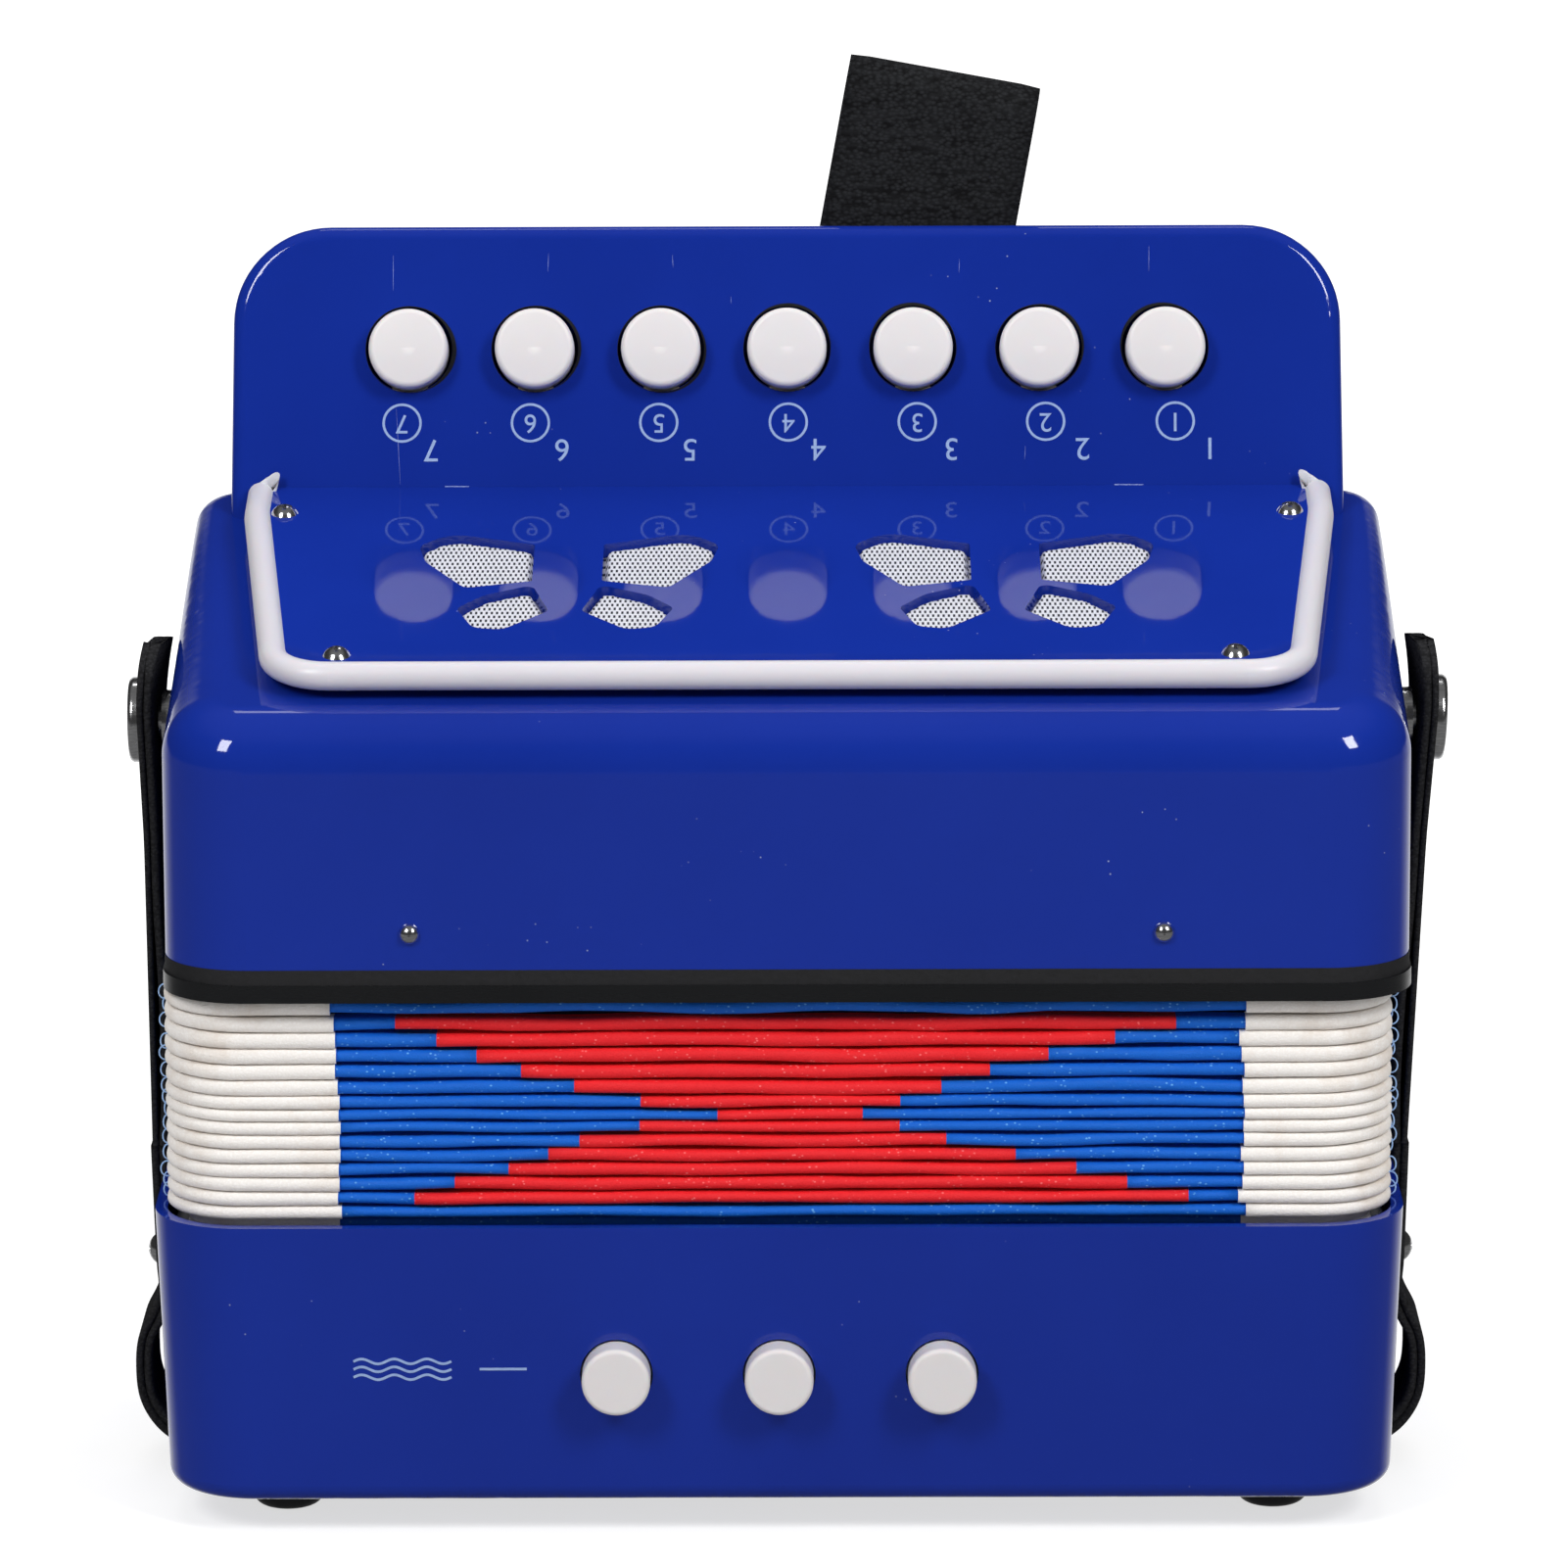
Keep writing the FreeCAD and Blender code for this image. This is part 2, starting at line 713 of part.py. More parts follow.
def treble_button(x):
    """White button with a low dome and a rounded edge."""
    length = button_stand + button_tail
    body = Part.makeCylinder(button_radius, length, V(0, 0, -button_tail))
    ball = (button_radius ** 2 + button_dome ** 2) / (2 * button_dome)
    body = body.common(Part.makeSphere(ball, V(0, 0, button_stand - ball)))
    rim = [edge for edge in body.Edges
           if edge.BoundBox.ZMin > button_stand - 2 * button_dome and edge.BoundBox.XLength > button_radius]
    body = body.makeFillet(button_edge, rim)
    body.rotate(ORIGIN, X_WAY, 90)
    body.translate(V(x, 0, button_up - button_settle))
    return on_board(body)


button_settle = (button_stand * key_swing) / 2


def treble_lever(x):
    """Lever on the common axle: an upright under the button and an arm to the pallet."""
    half = lever_width / 2
    upright = box(x - half, x + half, button_tail, button_tail + lever_thickness,
                  -axle_drop, button_up + button_radius / 2)
    hub = Part.makeCylinder(hub_radius, hub_length, V(x - hub_length / 2, axle_depth, axle_level), X_WAY)
    arm = box(x - half, x + half, pallet_far + pallet_length / 4, axle_depth,
              arm_bottom, arm_bottom + lever_thickness)
    pallet = block(pallet_width / 2, pallet_far, pallet_far + pallet_length, overrun,
                   arm_bottom - pallet_thickness, arm_bottom)
    pallet.translate(V(x, 0, 0))
    lever = fused([on_board(upright), hub, arm, pallet])
    return lever.cut(Part.makeCylinder(axle_radius + slip, 2 * hub_length,
                                       V(x - hub_length, axle_depth, axle_level), X_WAY))


def treble_pad(x):
    """Felt and leather pad under a pallet."""
    pad = block(pallet_width / 2, pallet_far, pallet_far + pallet_length, overrun,
                soundboard_top, soundboard_top + pad_thickness)
    pad.translate(V(x, 0, 0))
    return pad


bracket_places = [-key_places[-1] - key_pitch / 2, -key_pitch / 2, key_pitch / 2,
                  key_places[-1] + key_pitch / 2]


def treble_axle():
    """Steel rod that all seven levers turn on."""
    length = bracket_places[-1] - bracket_places[0] + bracket_thickness
    return Part.makeCylinder(axle_radius, length,
                             V(bracket_places[0] - bracket_thickness / 2, axle_depth, axle_level), X_WAY)


def treble_soundboard():
    """Board under the valves, with a sound hole per key and brackets for the axle."""
    inset = case_wall + seat_gap
    bottom = soundboard_top - soundboard_thickness
    plate = block(case_half - inset, inset, case_depth - inset, case_corner_radius - inset,
                  bottom, soundboard_top, back_corner_radius - inset)
    brackets = []
    for x in bracket_places:
        brackets.append(box(x - bracket_thickness / 2, x + bracket_thickness / 2,
                            axle_depth - bracket_half_depth, axle_depth + bracket_half_depth,
                            bottom, axle_level + bracket_half_depth))
    board = fused([plate] + brackets)
    cutters = [Part.makeCylinder(axle_radius + slip, case_width, V(-case_half, axle_depth, axle_level), X_WAY)]
    middle = pallet_far + pallet_length / 2
    for x in key_places:
        hole = block(soundhole_width / 2, middle - soundhole_length / 2, middle + soundhole_length / 2,
                     overrun, bottom - overrun, soundboard_top + overrun)
        hole.translate(V(x, 0, 0))
        cutters.append(hole)
    for x, y in hanger_places:
        cutters.append(Part.makeCylinder(screw_shank_radius + slip, 2 * soundboard_thickness,
                                         V(x, y, bottom - overrun)))
    return board.cut(cutters)


def treble_reed_block():
    """Block of seven air cells that hangs under the soundboard."""
    top = soundboard_top - soundboard_thickness
    middle = pallet_far + pallet_length / 2
    near = middle - soundhole_length / 2 - reed_wall
    far = middle + soundhole_length / 2 + reed_wall
    half = key_places[-1] + key_pitch / 2
    body = box(-half, half, near, far, top - reed_block_height, top)
    cells = []
    for x in key_places:
        cells.append(box(x - soundhole_width / 2, x + soundhole_width / 2, near + reed_wall, far + overrun,
                         top - reed_block_height + reed_wall, top + overrun))
    return body.cut(cells)


def reed_plate(half, bottom, top, face_depth, slot_places):
    """Upright metal plate with slots, and a thin tongue over each slot."""
    plate = box(-half, half, face_depth, face_depth + reed_plate_thickness, bottom, top)
    middle = (bottom + top) / 2
    tongues = []
    for number, x in enumerate(slot_places):
        low = middle - reed_slot_length / 2
        slot = box(x - reed_slot_width / 2, x + reed_slot_width / 2, face_depth - overrun,
                   face_depth + reed_plate_thickness + overrun, low, low + reed_slot_length)
        plate = plate.cut(slot)
        half_tongue = reed_slot_width / 2 - reed_tongue_play
        lift = reed_plate_thickness
        tongues.append(box(x - half_tongue, x + half_tongue, face_depth + lift,
                           face_depth + lift + reed_tongue_thickness,
                           low + reed_tongue_play, low + reed_slot_length + reed_slot_width))
        tongues.append(Part.makeCylinder(reed_rivet_radius, reed_plate_thickness + 2 * reed_tongue_thickness,
                                         V(x, face_depth, low + reed_slot_length + reed_slot_width / 2), Y_WAY))
    return fused([plate] + tongues)


def treble_reed_plate():
    """Plate with a pair of reeds per key, on the open side of the reed block."""
    top = soundboard_top - soundboard_thickness
    middle = pallet_far + pallet_length / 2
    face = middle + soundhole_length / 2 + reed_wall
    half = key_places[-1] + key_pitch / 2
    places = [x + side * reed_slot_width for x in key_places for side in (-1, 1)]
    return reed_plate(half, top - reed_block_height, top, face, places)


def treble_springs():
    """Spring coils on the axle, one beside each lever, with one leg up and one leg ahead."""
    springs = []
    for x in key_places:
        start = x + hub_length / 2 + soft_gap
        coil = Part.makeCylinder(spring_outer, spring_length, V(start, axle_depth, axle_level), X_WAY)
        wire = spring_wire / 2
        ahead = Part.makeCylinder(wire, spring_leg, V(start + wire, axle_depth, axle_level - wire), V(0, -1, 0))
        post = Part.makeCylinder(wire, axle_level - soundboard_top,
                                 V(start + spring_length - wire, axle_depth, soundboard_top))
        spring = fused([coil, ahead, post])
        bore = Part.makeCylinder(axle_radius + 2 * slip, 2 * spring_length,
                                 V(start - spring_length / 2, axle_depth, axle_level), X_WAY)
        springs.append(spring.cut(bore))
    return Part.makeCompound(springs)


# Bellows, its frames and its pins

band_overhang_share = 0.4
band_half = case_half + rim_overhang * band_overhang_share
bellows_half = case_half - bellows_side_inset
bass_board_level = rim_level - ledge_drop
lower_frame_level = bass_board_level + bass_board_thickness
bellows_level = lower_frame_level + lower_frame_height


def bellows_section(inset, level):
    """Outline of the bellows at one level."""
    wire = rectangle(bellows_half - inset, bellows_inset + inset, case_depth - bellows_inset - inset,
                     bellows_corner_radius - inset)
    wire.translate(V(0, 0, level))
    return wire


def bellows():
    """Closed bellows: folds stacked between the two frames, hollow inside."""
    pitch = (band_level - bellows_level) / fold_count
    sections = []
    for i in range(fold_count):
        low = bellows_level + i * pitch
        flank = pitch * (1 - fold_crest_share) / 2
        sections.append(bellows_section(fold_notch, low))
        sections.append(bellows_section(0, low + flank))
        sections.append(bellows_section(0, low + pitch - flank))
    sections.append(bellows_section(fold_notch, band_level))
    body = Part.makeLoft(sections, True, True)
    hollow = block(bellows_half - fold_depth, bellows_inset + fold_depth,
                   case_depth - bellows_inset - fold_depth, fold_notch, bellows_level - overrun,
                   band_level + overrun)
    return body.cut(hollow)


def bellows_frame_upper():
    """Black frame under the casing, with a flange that the pins go into."""
    side = case_half - band_half
    plate = block(band_half, side, case_depth - side, case_corner_radius, band_level, gasket_level,
                  back_corner_radius)
    reach = case_wall + soft_gap
    flange = block(case_half - reach, reach, case_depth - reach, case_corner_radius - reach,
                   band_level, case_level + flange_height, back_corner_radius - reach)
    inner = bellows_inset + fold_depth
    hollow = block(case_half - inner, inner, case_depth - inner, fold_notch, band_level - overrun,
                   case_level + flange_height + overrun)
    deep = reach + flange_wall
    upper_hollow = block(case_half - deep, deep, case_depth - deep, case_corner_radius - deep,
                         gasket_level, case_level + flange_height + overrun, back_corner_radius - deep)
    frame = fused([plate, flange]).cut([hollow, upper_hollow])
    holes = []
    for x in (-pin_half_span, pin_half_span):
        holes.append(Part.makeCylinder(pin_shank_radius + slip, case_depth + 2 * overrun,
                                       V(x, -overrun, pin_level), Y_WAY))
    return frame.cut(holes)


def bellows_gasket():
    """Soft seal between the frame and the casing's lower edge."""
    side = case_half - band_half + soft_gap
    ring = block(case_half - side, side, case_depth - side, case_corner_radius, gasket_level, case_level,
                 back_corner_radius)
    reach = case_wall + soft_gap - slip
    hollow = block(case_half - reach, reach, case_depth - reach, case_corner_radius - reach,
                   gasket_level - overrun, case_level + overrun, back_corner_radius - reach)
    return ring.cut(hollow)


def bellows_pins():
    """Round-headed pins through the casing into the bellows frame, front and back."""
    pins = []
    dome = (pin_head_radius ** 2 + pin_head_height ** 2) / (2 * pin_head_height)
    for x in (-pin_half_span, pin_half_span):
        for turn, depth in ((90, 0), (-90, case_depth)):
            head = Part.makeCylinder(pin_head_radius, pin_head_height)
            head = head.common(Part.makeSphere(dome, V(0, 0, pin_head_height - dome)))
            shank = Part.makeCylinder(pin_shank_radius, pin_length, V(0, 0, -pin_length))
            pin = fused([head, shank])
            pin.rotate(ORIGIN, X_WAY, turn)
            pin.translate(V(x, depth, pin_level))
            pins.append(pin)
    return Part.makeCompound(pins)


def bellows_frame_lower():
    """Frame that holds the bellows down on the bass board."""
    outer = bass_section_inset(lower_frame_level) + seat_gap
    ring = block(case_half - outer, outer, case_depth - outer, bellows_corner_radius,
                 lower_frame_level, bellows_level)
    deep = outer + lower_frame_width
    hollow = block(case_half - deep, deep, case_depth - deep, fold_notch, lower_frame_level - overrun,
                   bellows_level + overrun)
    return ring.cut(hollow)


# Bass box

bass_draft = 2.0
bass_wall = 2.0
bass_ledge = 2.0
bass_bottom_radius = 3.0
bass_inner_radius = 2.0
bass_post_radius = 4.0
bass_post_side_margin = 41.5
bass_post_half_span = case_half - bass_post_side_margin
bass_post_margin = 20.0
bass_post_places = [(side * bass_post_half_span, y) for side in (-1, 1)
                    for y in (bass_post_margin, case_depth - bass_post_margin)]
foot_radius = 6.1
foot_edge = 2.6
foot_stem_radius = 2.4
foot_stem_length = 4.5
foot_side_margin = 19.8
foot_half_span = case_half - foot_side_margin
foot_margin = 20.5
foot_places = [(side * foot_half_span, y) for side in (-1, 1) for y in (foot_margin, case_depth - foot_margin)]

bass_end_margin = 21.7
bass_count = 3
bass_pitch = (case_half - bass_end_margin) / bass_count
bass_button_drop = 25.0
bass_button_radius = 5.6
bass_button_gap = 0.35
bass_button_stand = 5.5
bass_button_edge = 0.8
bass_collar_radius = 7.0
bass_collar_height = 1.2
bass_travel = 3.2
bass_stem_radius = 1.75
bass_valve_radius = 6.5
bass_valve_thickness = 3.0
bass_chamber_near = 13.0
bass_chamber_far = 36.0
bass_chamber_wall = 2.0
bass_vent_radius = 1.7
bass_vent_ring = 4.0
bass_button_level = rim_level - bass_button_drop
bass_places = [(i - (bass_count - 1) / 2) * bass_pitch for i in range(bass_count)]

side_screw_level = 35.8
side_screw_head_radius = 2.9
side_screw_head_height = 2.1
side_screw_shank_radius = 1.6
side_screw_shank_length = 9.0
side_boss_radius = 3.6
side_boss_length = 5.0


def bass_section_inset(level):
    """How far the box's inner wall stands in from the casing's side at a level."""
    return (rim_level - level) * math.tan(math.radians(bass_draft)) - rim_overhang + bass_wall


def bass_wire(inset, level):
    """Outline of the drafted box at a level, drawn in by an inset."""
    step = bass_section_inset(level) - bass_wall + inset
    wire = rectangle(case_half - step, step, case_depth - step, case_corner_radius + rim_overhang - inset)
    wire.translate(V(0, 0, level))
    return wire


def bass_block(inset, bottom, top):
    """Drafted block between two levels."""
    return Part.makeLoft([bass_wire(inset, bottom), bass_wire(inset, top)], True, True)


def low_edges(body, level):
    """Edges that lie at one level."""
    return [edge for edge in body.Edges if edge.BoundBox.ZMax < level + slip]


def bass_box():
    """Moulded box with a ledge for the bass board, posts, bosses and button holes."""
    outer = bass_block(0, floor_level, rim_level)
    outer = outer.makeFillet(bass_bottom_radius, low_edges(outer, floor_level))
    inner_floor = floor_level + bass_wall
    lower = bass_block(bass_wall + bass_ledge, inner_floor, bass_board_level)
    lower = lower.makeFillet(bass_inner_radius, low_edges(lower, inner_floor))
    upper = bass_block(bass_wall, bass_board_level, rim_level + overrun)
    body = outer.cut([lower, upper])
    added = []
    for x, y in bass_post_places:
        added.append(Part.makeCylinder(bass_post_radius, bass_board_level - floor_level - bass_wall / 2,
                                       V(x, y, floor_level + bass_wall / 2)))
    side = case_half - bass_section_inset(side_screw_level) + bass_wall / 2
    for sign in (-1, 1):
        added.append(Part.makeCylinder(side_boss_radius, side_boss_length,
                                       V(sign * side, strap_middle, side_screw_level), V(-sign, 0, 0)))
    body = fused([body] + added)
    cutters = []
    for x, y in bass_post_places:
        cutters.append(Part.makeCylinder(screw_shank_radius + slip, screw_shank_length,
                                         V(x, y, bass_board_level - screw_shank_length + overrun)))
    for x, y in foot_places:
        cutters.append(Part.makeCylinder(foot_stem_radius + slip, 2 * foot_stem_length, V(x, y, 0)))
    for x in bass_places:
        cutters.append(Part.makeCylinder(bass_button_radius + bass_button_gap, 2 * bass_chamber_near,
                                         V(x, -bass_chamber_near, bass_button_level), Y_WAY))
    for sign in (-1, 1):
        cutters.append(Part.makeCylinder(side_screw_shank_radius + slip, side_screw_shank_length,
                                         V(sign * (case_half + rim_overhang), strap_middle, side_screw_level),
                                         V(-sign, 0, 0)))
    return body.cut(cutters)


def rubber_feet():
    """Four rubber feet with stems through the box's floor."""
    feet = []
    for x, y in foot_places:
        disc = Part.makeCylinder(foot_radius, foot_height, V(x, y, 0))
        disc = disc.makeFillet(foot_edge, low_edges(disc, 0))
        stem = Part.makeCylinder(foot_stem_radius, foot_height + foot_stem_length, V(x, y, 0))
        feet.append(fused([disc, stem]))
    return Part.makeCompound(feet)


def bass_board():
    """Board across the box, with one window over each air cell."""
    level = bass_board_level
    outer = bass_section_inset(level) + seat_gap
    board = block(case_half - outer, outer, case_depth - outer, bellows_corner_radius, level,
                  level + bass_board_thickness)
    cutters = []
    near = bass_chamber_near + bass_chamber_wall
    far = bass_chamber_far - bass_chamber_wall
    for x in bass_places:
        window = block(soundhole_width / 2, near + bass_chamber_wall, far, overrun, level - overrun,
                       level + bass_board_thickness + overrun)
        window.translate(V(x, 0, 0))
        cutters.append(window)
    for x, y in bass_post_places:
        cutters.append(Part.makeCylinder(screw_shank_radius + slip, 2 * bass_board_thickness,
                                         V(x, y, level - overrun)))
    return board.cut(cutters)


def bass_board_screws():
    """Four screws that hold the bass board down on its posts."""
    screws = []
    for x, y in bass_post_places:
        screw = small_screw()
        screw.translate(V(x, y, bass_board_level + bass_board_thickness))
        screws.append(screw)
    return Part.makeCompound(screws)


bass_cell_half = bass_pitch / 2 - bass_chamber_wall
bass_chamber_bottom = bass_button_level - bass_valve_radius - 2 * bass_chamber_wall


def bass_reed_block():
    """Three air cells under the bass board, each with a valve seat in its front wall."""
    half = bass_pitch * bass_count / 2 + bass_chamber_wall
    body = box(-half, half, bass_chamber_near, bass_chamber_far, bass_chamber_bottom, bass_board_level)
    cutters = []
    for x in bass_places:
        cutters.append(box(x - bass_cell_half, x + bass_cell_half, bass_chamber_near + bass_chamber_wall,
                           bass_chamber_far - bass_chamber_wall, bass_chamber_bottom + bass_chamber_wall,
                           bass_board_level + overrun))
        cutters.append(Part.makeCylinder(bass_stem_radius + 2 * slip, 2 * bass_chamber_wall,
                                         V(x, bass_chamber_near - overrun, bass_button_level), Y_WAY))
        for turn in (0, 90, 180, 270):
            place = V(x, bass_chamber_near - overrun, bass_button_level + bass_vent_ring)
            vent = Part.makeCylinder(bass_vent_radius / 2, 2 * bass_chamber_wall, place, Y_WAY)
            vent.rotate(V(x, 0, bass_button_level), Y_WAY, turn)
            cutters.append(vent)
    return body.cut(cutters)


def bass_reed_plates():
    """Plates with a pair of reeds for each of the two bass cells, flat on the board."""
    plates = []
    depth_middle = (bass_chamber_near + bass_chamber_far + bass_chamber_wall) / 2
    for x in bass_places[1:]:
        half = soundhole_width / 2 + bass_chamber_wall
        length = bass_chamber_far - bass_chamber_near
        plate = reed_plate(half, -length / 2, length / 2, 0, [-reed_slot_width, reed_slot_width])
        plate.rotate(ORIGIN, X_WAY, 90)
        plate.translate(V(x, depth_middle, bass_board_level + bass_board_thickness))
        plates.append(plate)
    return Part.makeCompound(plates)


def bass_button(x):
    """Button with a collar behind the wall and a stem to its valve."""
    face = bass_face_depth() - bass_button_stand
    back = bass_collar_back()
    body = Part.makeCylinder(bass_button_radius, back - face, V(0, 0, 0))
    body = body.makeFillet(bass_button_edge, [edge for edge in body.Edges if edge.BoundBox.ZMax < slip])
    collar = Part.makeCylinder(bass_collar_radius, bass_collar_height,
                               V(0, 0, back - face - bass_collar_height))
    stem_end = bass_chamber_near + bass_chamber_wall + bass_valve_thickness + bass_collar_height
    stem = Part.makeCylinder(bass_stem_radius, stem_end - face)
    head = Part.makeCylinder(2 * bass_stem_radius, bass_collar_height,
                             V(0, 0, stem_end - face - bass_collar_height))
    button = fused([body, collar, stem, head])
    button.rotate(ORIGIN, X_WAY, -90)
    button.translate(V(x, face, bass_button_level))
    return button


def bass_face_depth():
    """Depth of the box's drafted front where the lowest edge of a button passes it."""
    return bass_section_inset(bass_button_level - bass_collar_radius) - bass_wall


def bass_collar_back():
    """Depth of the back of a button's collar, which stops behind the ledge's wall."""
    return bass_face_depth() + bass_wall + bass_ledge + soft_gap + bass_collar_height


def bass_valve(x):
    """Felt-faced disc on the stem, closed against the seat from inside the cell."""
    near = bass_chamber_near + bass_chamber_wall
    disc = Part.makeCylinder(bass_valve_radius, bass_valve_thickness, V(x, near, bass_button_level), Y_WAY)
    return disc.cut(Part.makeCylinder(bass_stem_radius, 2 * bass_valve_thickness,
                                      V(x, near - overrun, bass_button_level), Y_WAY))


def bass_springs():
    """Coils on the stems at their pressed length, seated on the front of the air cells."""
    coils = []
    length = bass_chamber_near - bass_collar_back() - bass_travel - soft_gap
    for x in bass_places:
        start = V(x, bass_chamber_near - length, bass_button_level)
        coil = Part.makeCylinder(bass_stem_radius + soft_gap + 2 * spring_wire, length, start, Y_WAY)
        coils.append(coil.cut(Part.makeCylinder(bass_stem_radius + soft_gap, length, start, Y_WAY)))
    return Part.makeCompound(coils)


# Straps: one long band under the box, whose two upper lengths close the bellows
strap_thickness = 2.2
strap_width = 18.0
strap_rise_over_rim = 3.0
strap_top_level = 142.5
slack_out = 3.8
slack_level = 15.4
slack_height = 7.5
slack_turn_in = 2.7
slack_turn_up = 0.8
slack_turn_radius = 5.7
slack_bend_radius = 8.0
under_clear = 2.4
flex_level = rim_level + strap_rise_over_rim
strap_seam = slip
strap_inner = case_half + rim_overhang + soft_gap
strap_screw_inner = case_half - bass_section_inset(side_screw_level) + bass_wall + soft_gap
tab_tilt = math.atan((strap_inner - strap_screw_inner) / (flex_level - side_screw_level))
hinge_level = flex_level + strap_seam
stud_height = strap_stand - soft_gap


def strap_tilt(sign):
    """Lean of a closing strap from the bass end out to its stud, on one side."""
    seat = strap_inner - sign * end_shift
    return math.atan((case_half + strap_stand - seat) / (snap_level - flex_level))


def strap_hinge(sign):
    """Distance from the casing's middle to a closing strap's hinge, on one side."""
    return strap_inner - sign * end_shift + strap_thickness * math.cos(strap_tilt(sign))


def hand_strap():
    """Band from screw to screw under the box, slack at both sides."""
    top = strap_inner + strap_thickness / 2
    mid = strap_screw_inner + strap_thickness / 2
    out = mid + slack_out
    low = under_clear + strap_thickness / 2
    straight = side_screw_head_radius + strap_thickness
    half_route = [(top, flex_level), (mid - straight * math.tan(tab_tilt), side_screw_level - straight),
                  (out, slack_level + slack_height), (out, slack_level - slack_height / 3),
                  (mid - slack_turn_in, low + slack_turn_up), (mid - 3 * slack_out, low)]
    turns = [slack_out, slack_bend_radius, slack_bend_radius, slack_turn_radius]
    route = half_route + [(-x, z) for x, z in half_route[::-1]]
    all_turns = turns + [8 * slack_out] * 2 + turns[::-1]
    band = flat_solid(band_outline(route, all_turns, strap_thickness), strap_width)
    band = across_y(band, strap_width)
    band.translate(V(0, strap_middle, 0))
    for sign in (-1, 1):
        band = band.cut(Part.makeCylinder(side_screw_shank_radius + slip, 3 * strap_thickness,
                                          V(sign * (mid - 2 * strap_thickness), strap_middle, side_screw_level),
                                          V(sign, 0, 0)))
    return band


def on_strap(solid, sign):
    """Carry a solid drawn on an upright strap at X zero to one side of the casing."""
    solid.translate(V(-strap_thickness, 0, 0))
    solid.rotate(ORIGIN, Y_WAY, math.degrees(strap_tilt(sign)))
    solid.translate(V(strap_hinge(sign), strap_middle, hinge_level))
    if sign < 0:
        solid = solid.mirror(ORIGIN, X_WAY)
    return solid


def closing_strap(sign):
    """Strap that turns out about its lower end when its snap is undone."""
    height = strap_top_level - flex_level
    half = strap_width / 2
    wire = rounded_outline([(-half, 0), (half, 0), (half, height), (-half, height)],
                           [0, 0, half * strap_end_share, half * strap_end_share])
    band = across_x(flat_solid(wire, strap_thickness), strap_thickness)
    band.translate(V(strap_thickness / 2, 0, 0))
    hole = Part.makeCylinder(stud_tip_radius / 2, 3 * strap_thickness,
                             V(-strap_thickness, 0, snap_level - flex_level), X_WAY)
    return on_strap(band.cut(hole), sign)


strap_end_share = 0.7
snap_cap_height = 2.4
snap_cap_edge = 0.9


def snap_cap(sign):
    """Snap cap on the strap's outer face, riveted through it."""
    level = snap_level - flex_level
    cap = Part.makeCylinder(snap_radius, snap_cap_height, V(strap_thickness, 0, level), X_WAY)
    rim = [edge for edge in cap.Edges if edge.BoundBox.XMin > strap_thickness + snap_cap_height / 2
           and edge.BoundBox.ZLength > snap_radius]
    cap = cap.makeFillet(snap_cap_edge, rim)
    rivet = Part.makeCylinder(stud_tip_radius / 2 - slip, strap_thickness, V(0, 0, level), X_WAY)
    return on_strap(fused([cap, rivet]), sign)


def snap_studs():
    """Studs on the casing's sides, face to face with the straps."""
    studs = []
    for sign in (-1, 1):
        base = Part.makeCylinder(stud_base_radius, stud_base_height)
        tip = Part.makeCylinder(stud_tip_radius, stud_height)
        shank = Part.makeCylinder(stud_tip_radius / 2, case_wall, V(0, 0, -case_wall))
        stud = fused([base, tip, shank])
        stud.rotate(ORIGIN, Y_WAY, 90 * sign)
        stud.translate(V(sign * case_half, strap_middle, snap_level))
        studs.append(stud)
    return Part.makeCompound(studs)


def side_screws():
    """Screws that hold the straps' ends on the bass box."""
    screws = []
    for sign in (-1, 1):
        screw = pan_screw(side_screw_head_radius, side_screw_head_height, side_screw_shank_radius,
                          side_screw_shank_length, screw_recess_width, screw_recess_reach)
        screw.rotate(ORIGIN, Y_WAY, 90 * sign)
        seat = strap_screw_inner + strap_thickness + side_screw_head_radius * math.tan(tab_tilt) + slip
        screw.translate(V(sign * seat, strap_middle, side_screw_level))
        screws.append(screw)
    return Part.makeCompound(screws)


# The whole object

pieces = {
    "bass_box": bass_box(),
    "rubber_feet": rubber_feet(),
    "bass_board": bass_board(),
    "bass_board_screws": bass_board_screws(),
    "bass_reed_block": bass_reed_block(),
    "bass_reed_plates": bass_reed_plates(),
    "bass_springs": bass_springs(),
    "side_screws": side_screws(),
    "hand_strap": hand_strap(),
    "closing_strap_left": closing_strap(-1),
    "closing_strap_right": closing_strap(1),
    "snap_cap_left": snap_cap(-1),
    "snap_cap_right": snap_cap(1),
    "bellows_frame_lower": bellows_frame_lower(),
    "bellows": bellows(),
    "bellows_frame_upper": bellows_frame_upper(),
    "bellows_gasket": bellows_gasket(),
    "bellows_pins": bellows_pins(),
    "treble_casing": treble_casing(),
    "snap_studs": snap_studs(),
    "grille_panel": grille_panel(),
    "trim_tube": trim_tube(),
    "mesh_cloth": mesh_cloth(),
    "grille_screws": grille_screws(),
    "fingerboard": fingerboard(),
    "fingerboard_back": fingerboard_back(),
    "thumb_strap": thumb_strap(),
    "case_screws": case_screws(),
    "treble_soundboard": treble_soundboard(),
    "treble_reed_block": treble_reed_block(),
    "treble_reed_plate": treble_reed_plate(),
    "treble_axle": treble_axle(),
    "treble_springs": treble_springs(),
}
for number, x in enumerate(bass_places, 1):
    pieces["bass_button_%d" % number] = bass_button(x)
    pieces["bass_valve_%d" % number] = bass_valve(x)
for number, x in enumerate(key_places, 1):
    pieces["treble_button_%d" % number] = treble_button(x)
    pieces["treble_lever_%d" % number] = treble_lever(x)
    pieces["treble_pad_%d" % number] = treble_pad(x)

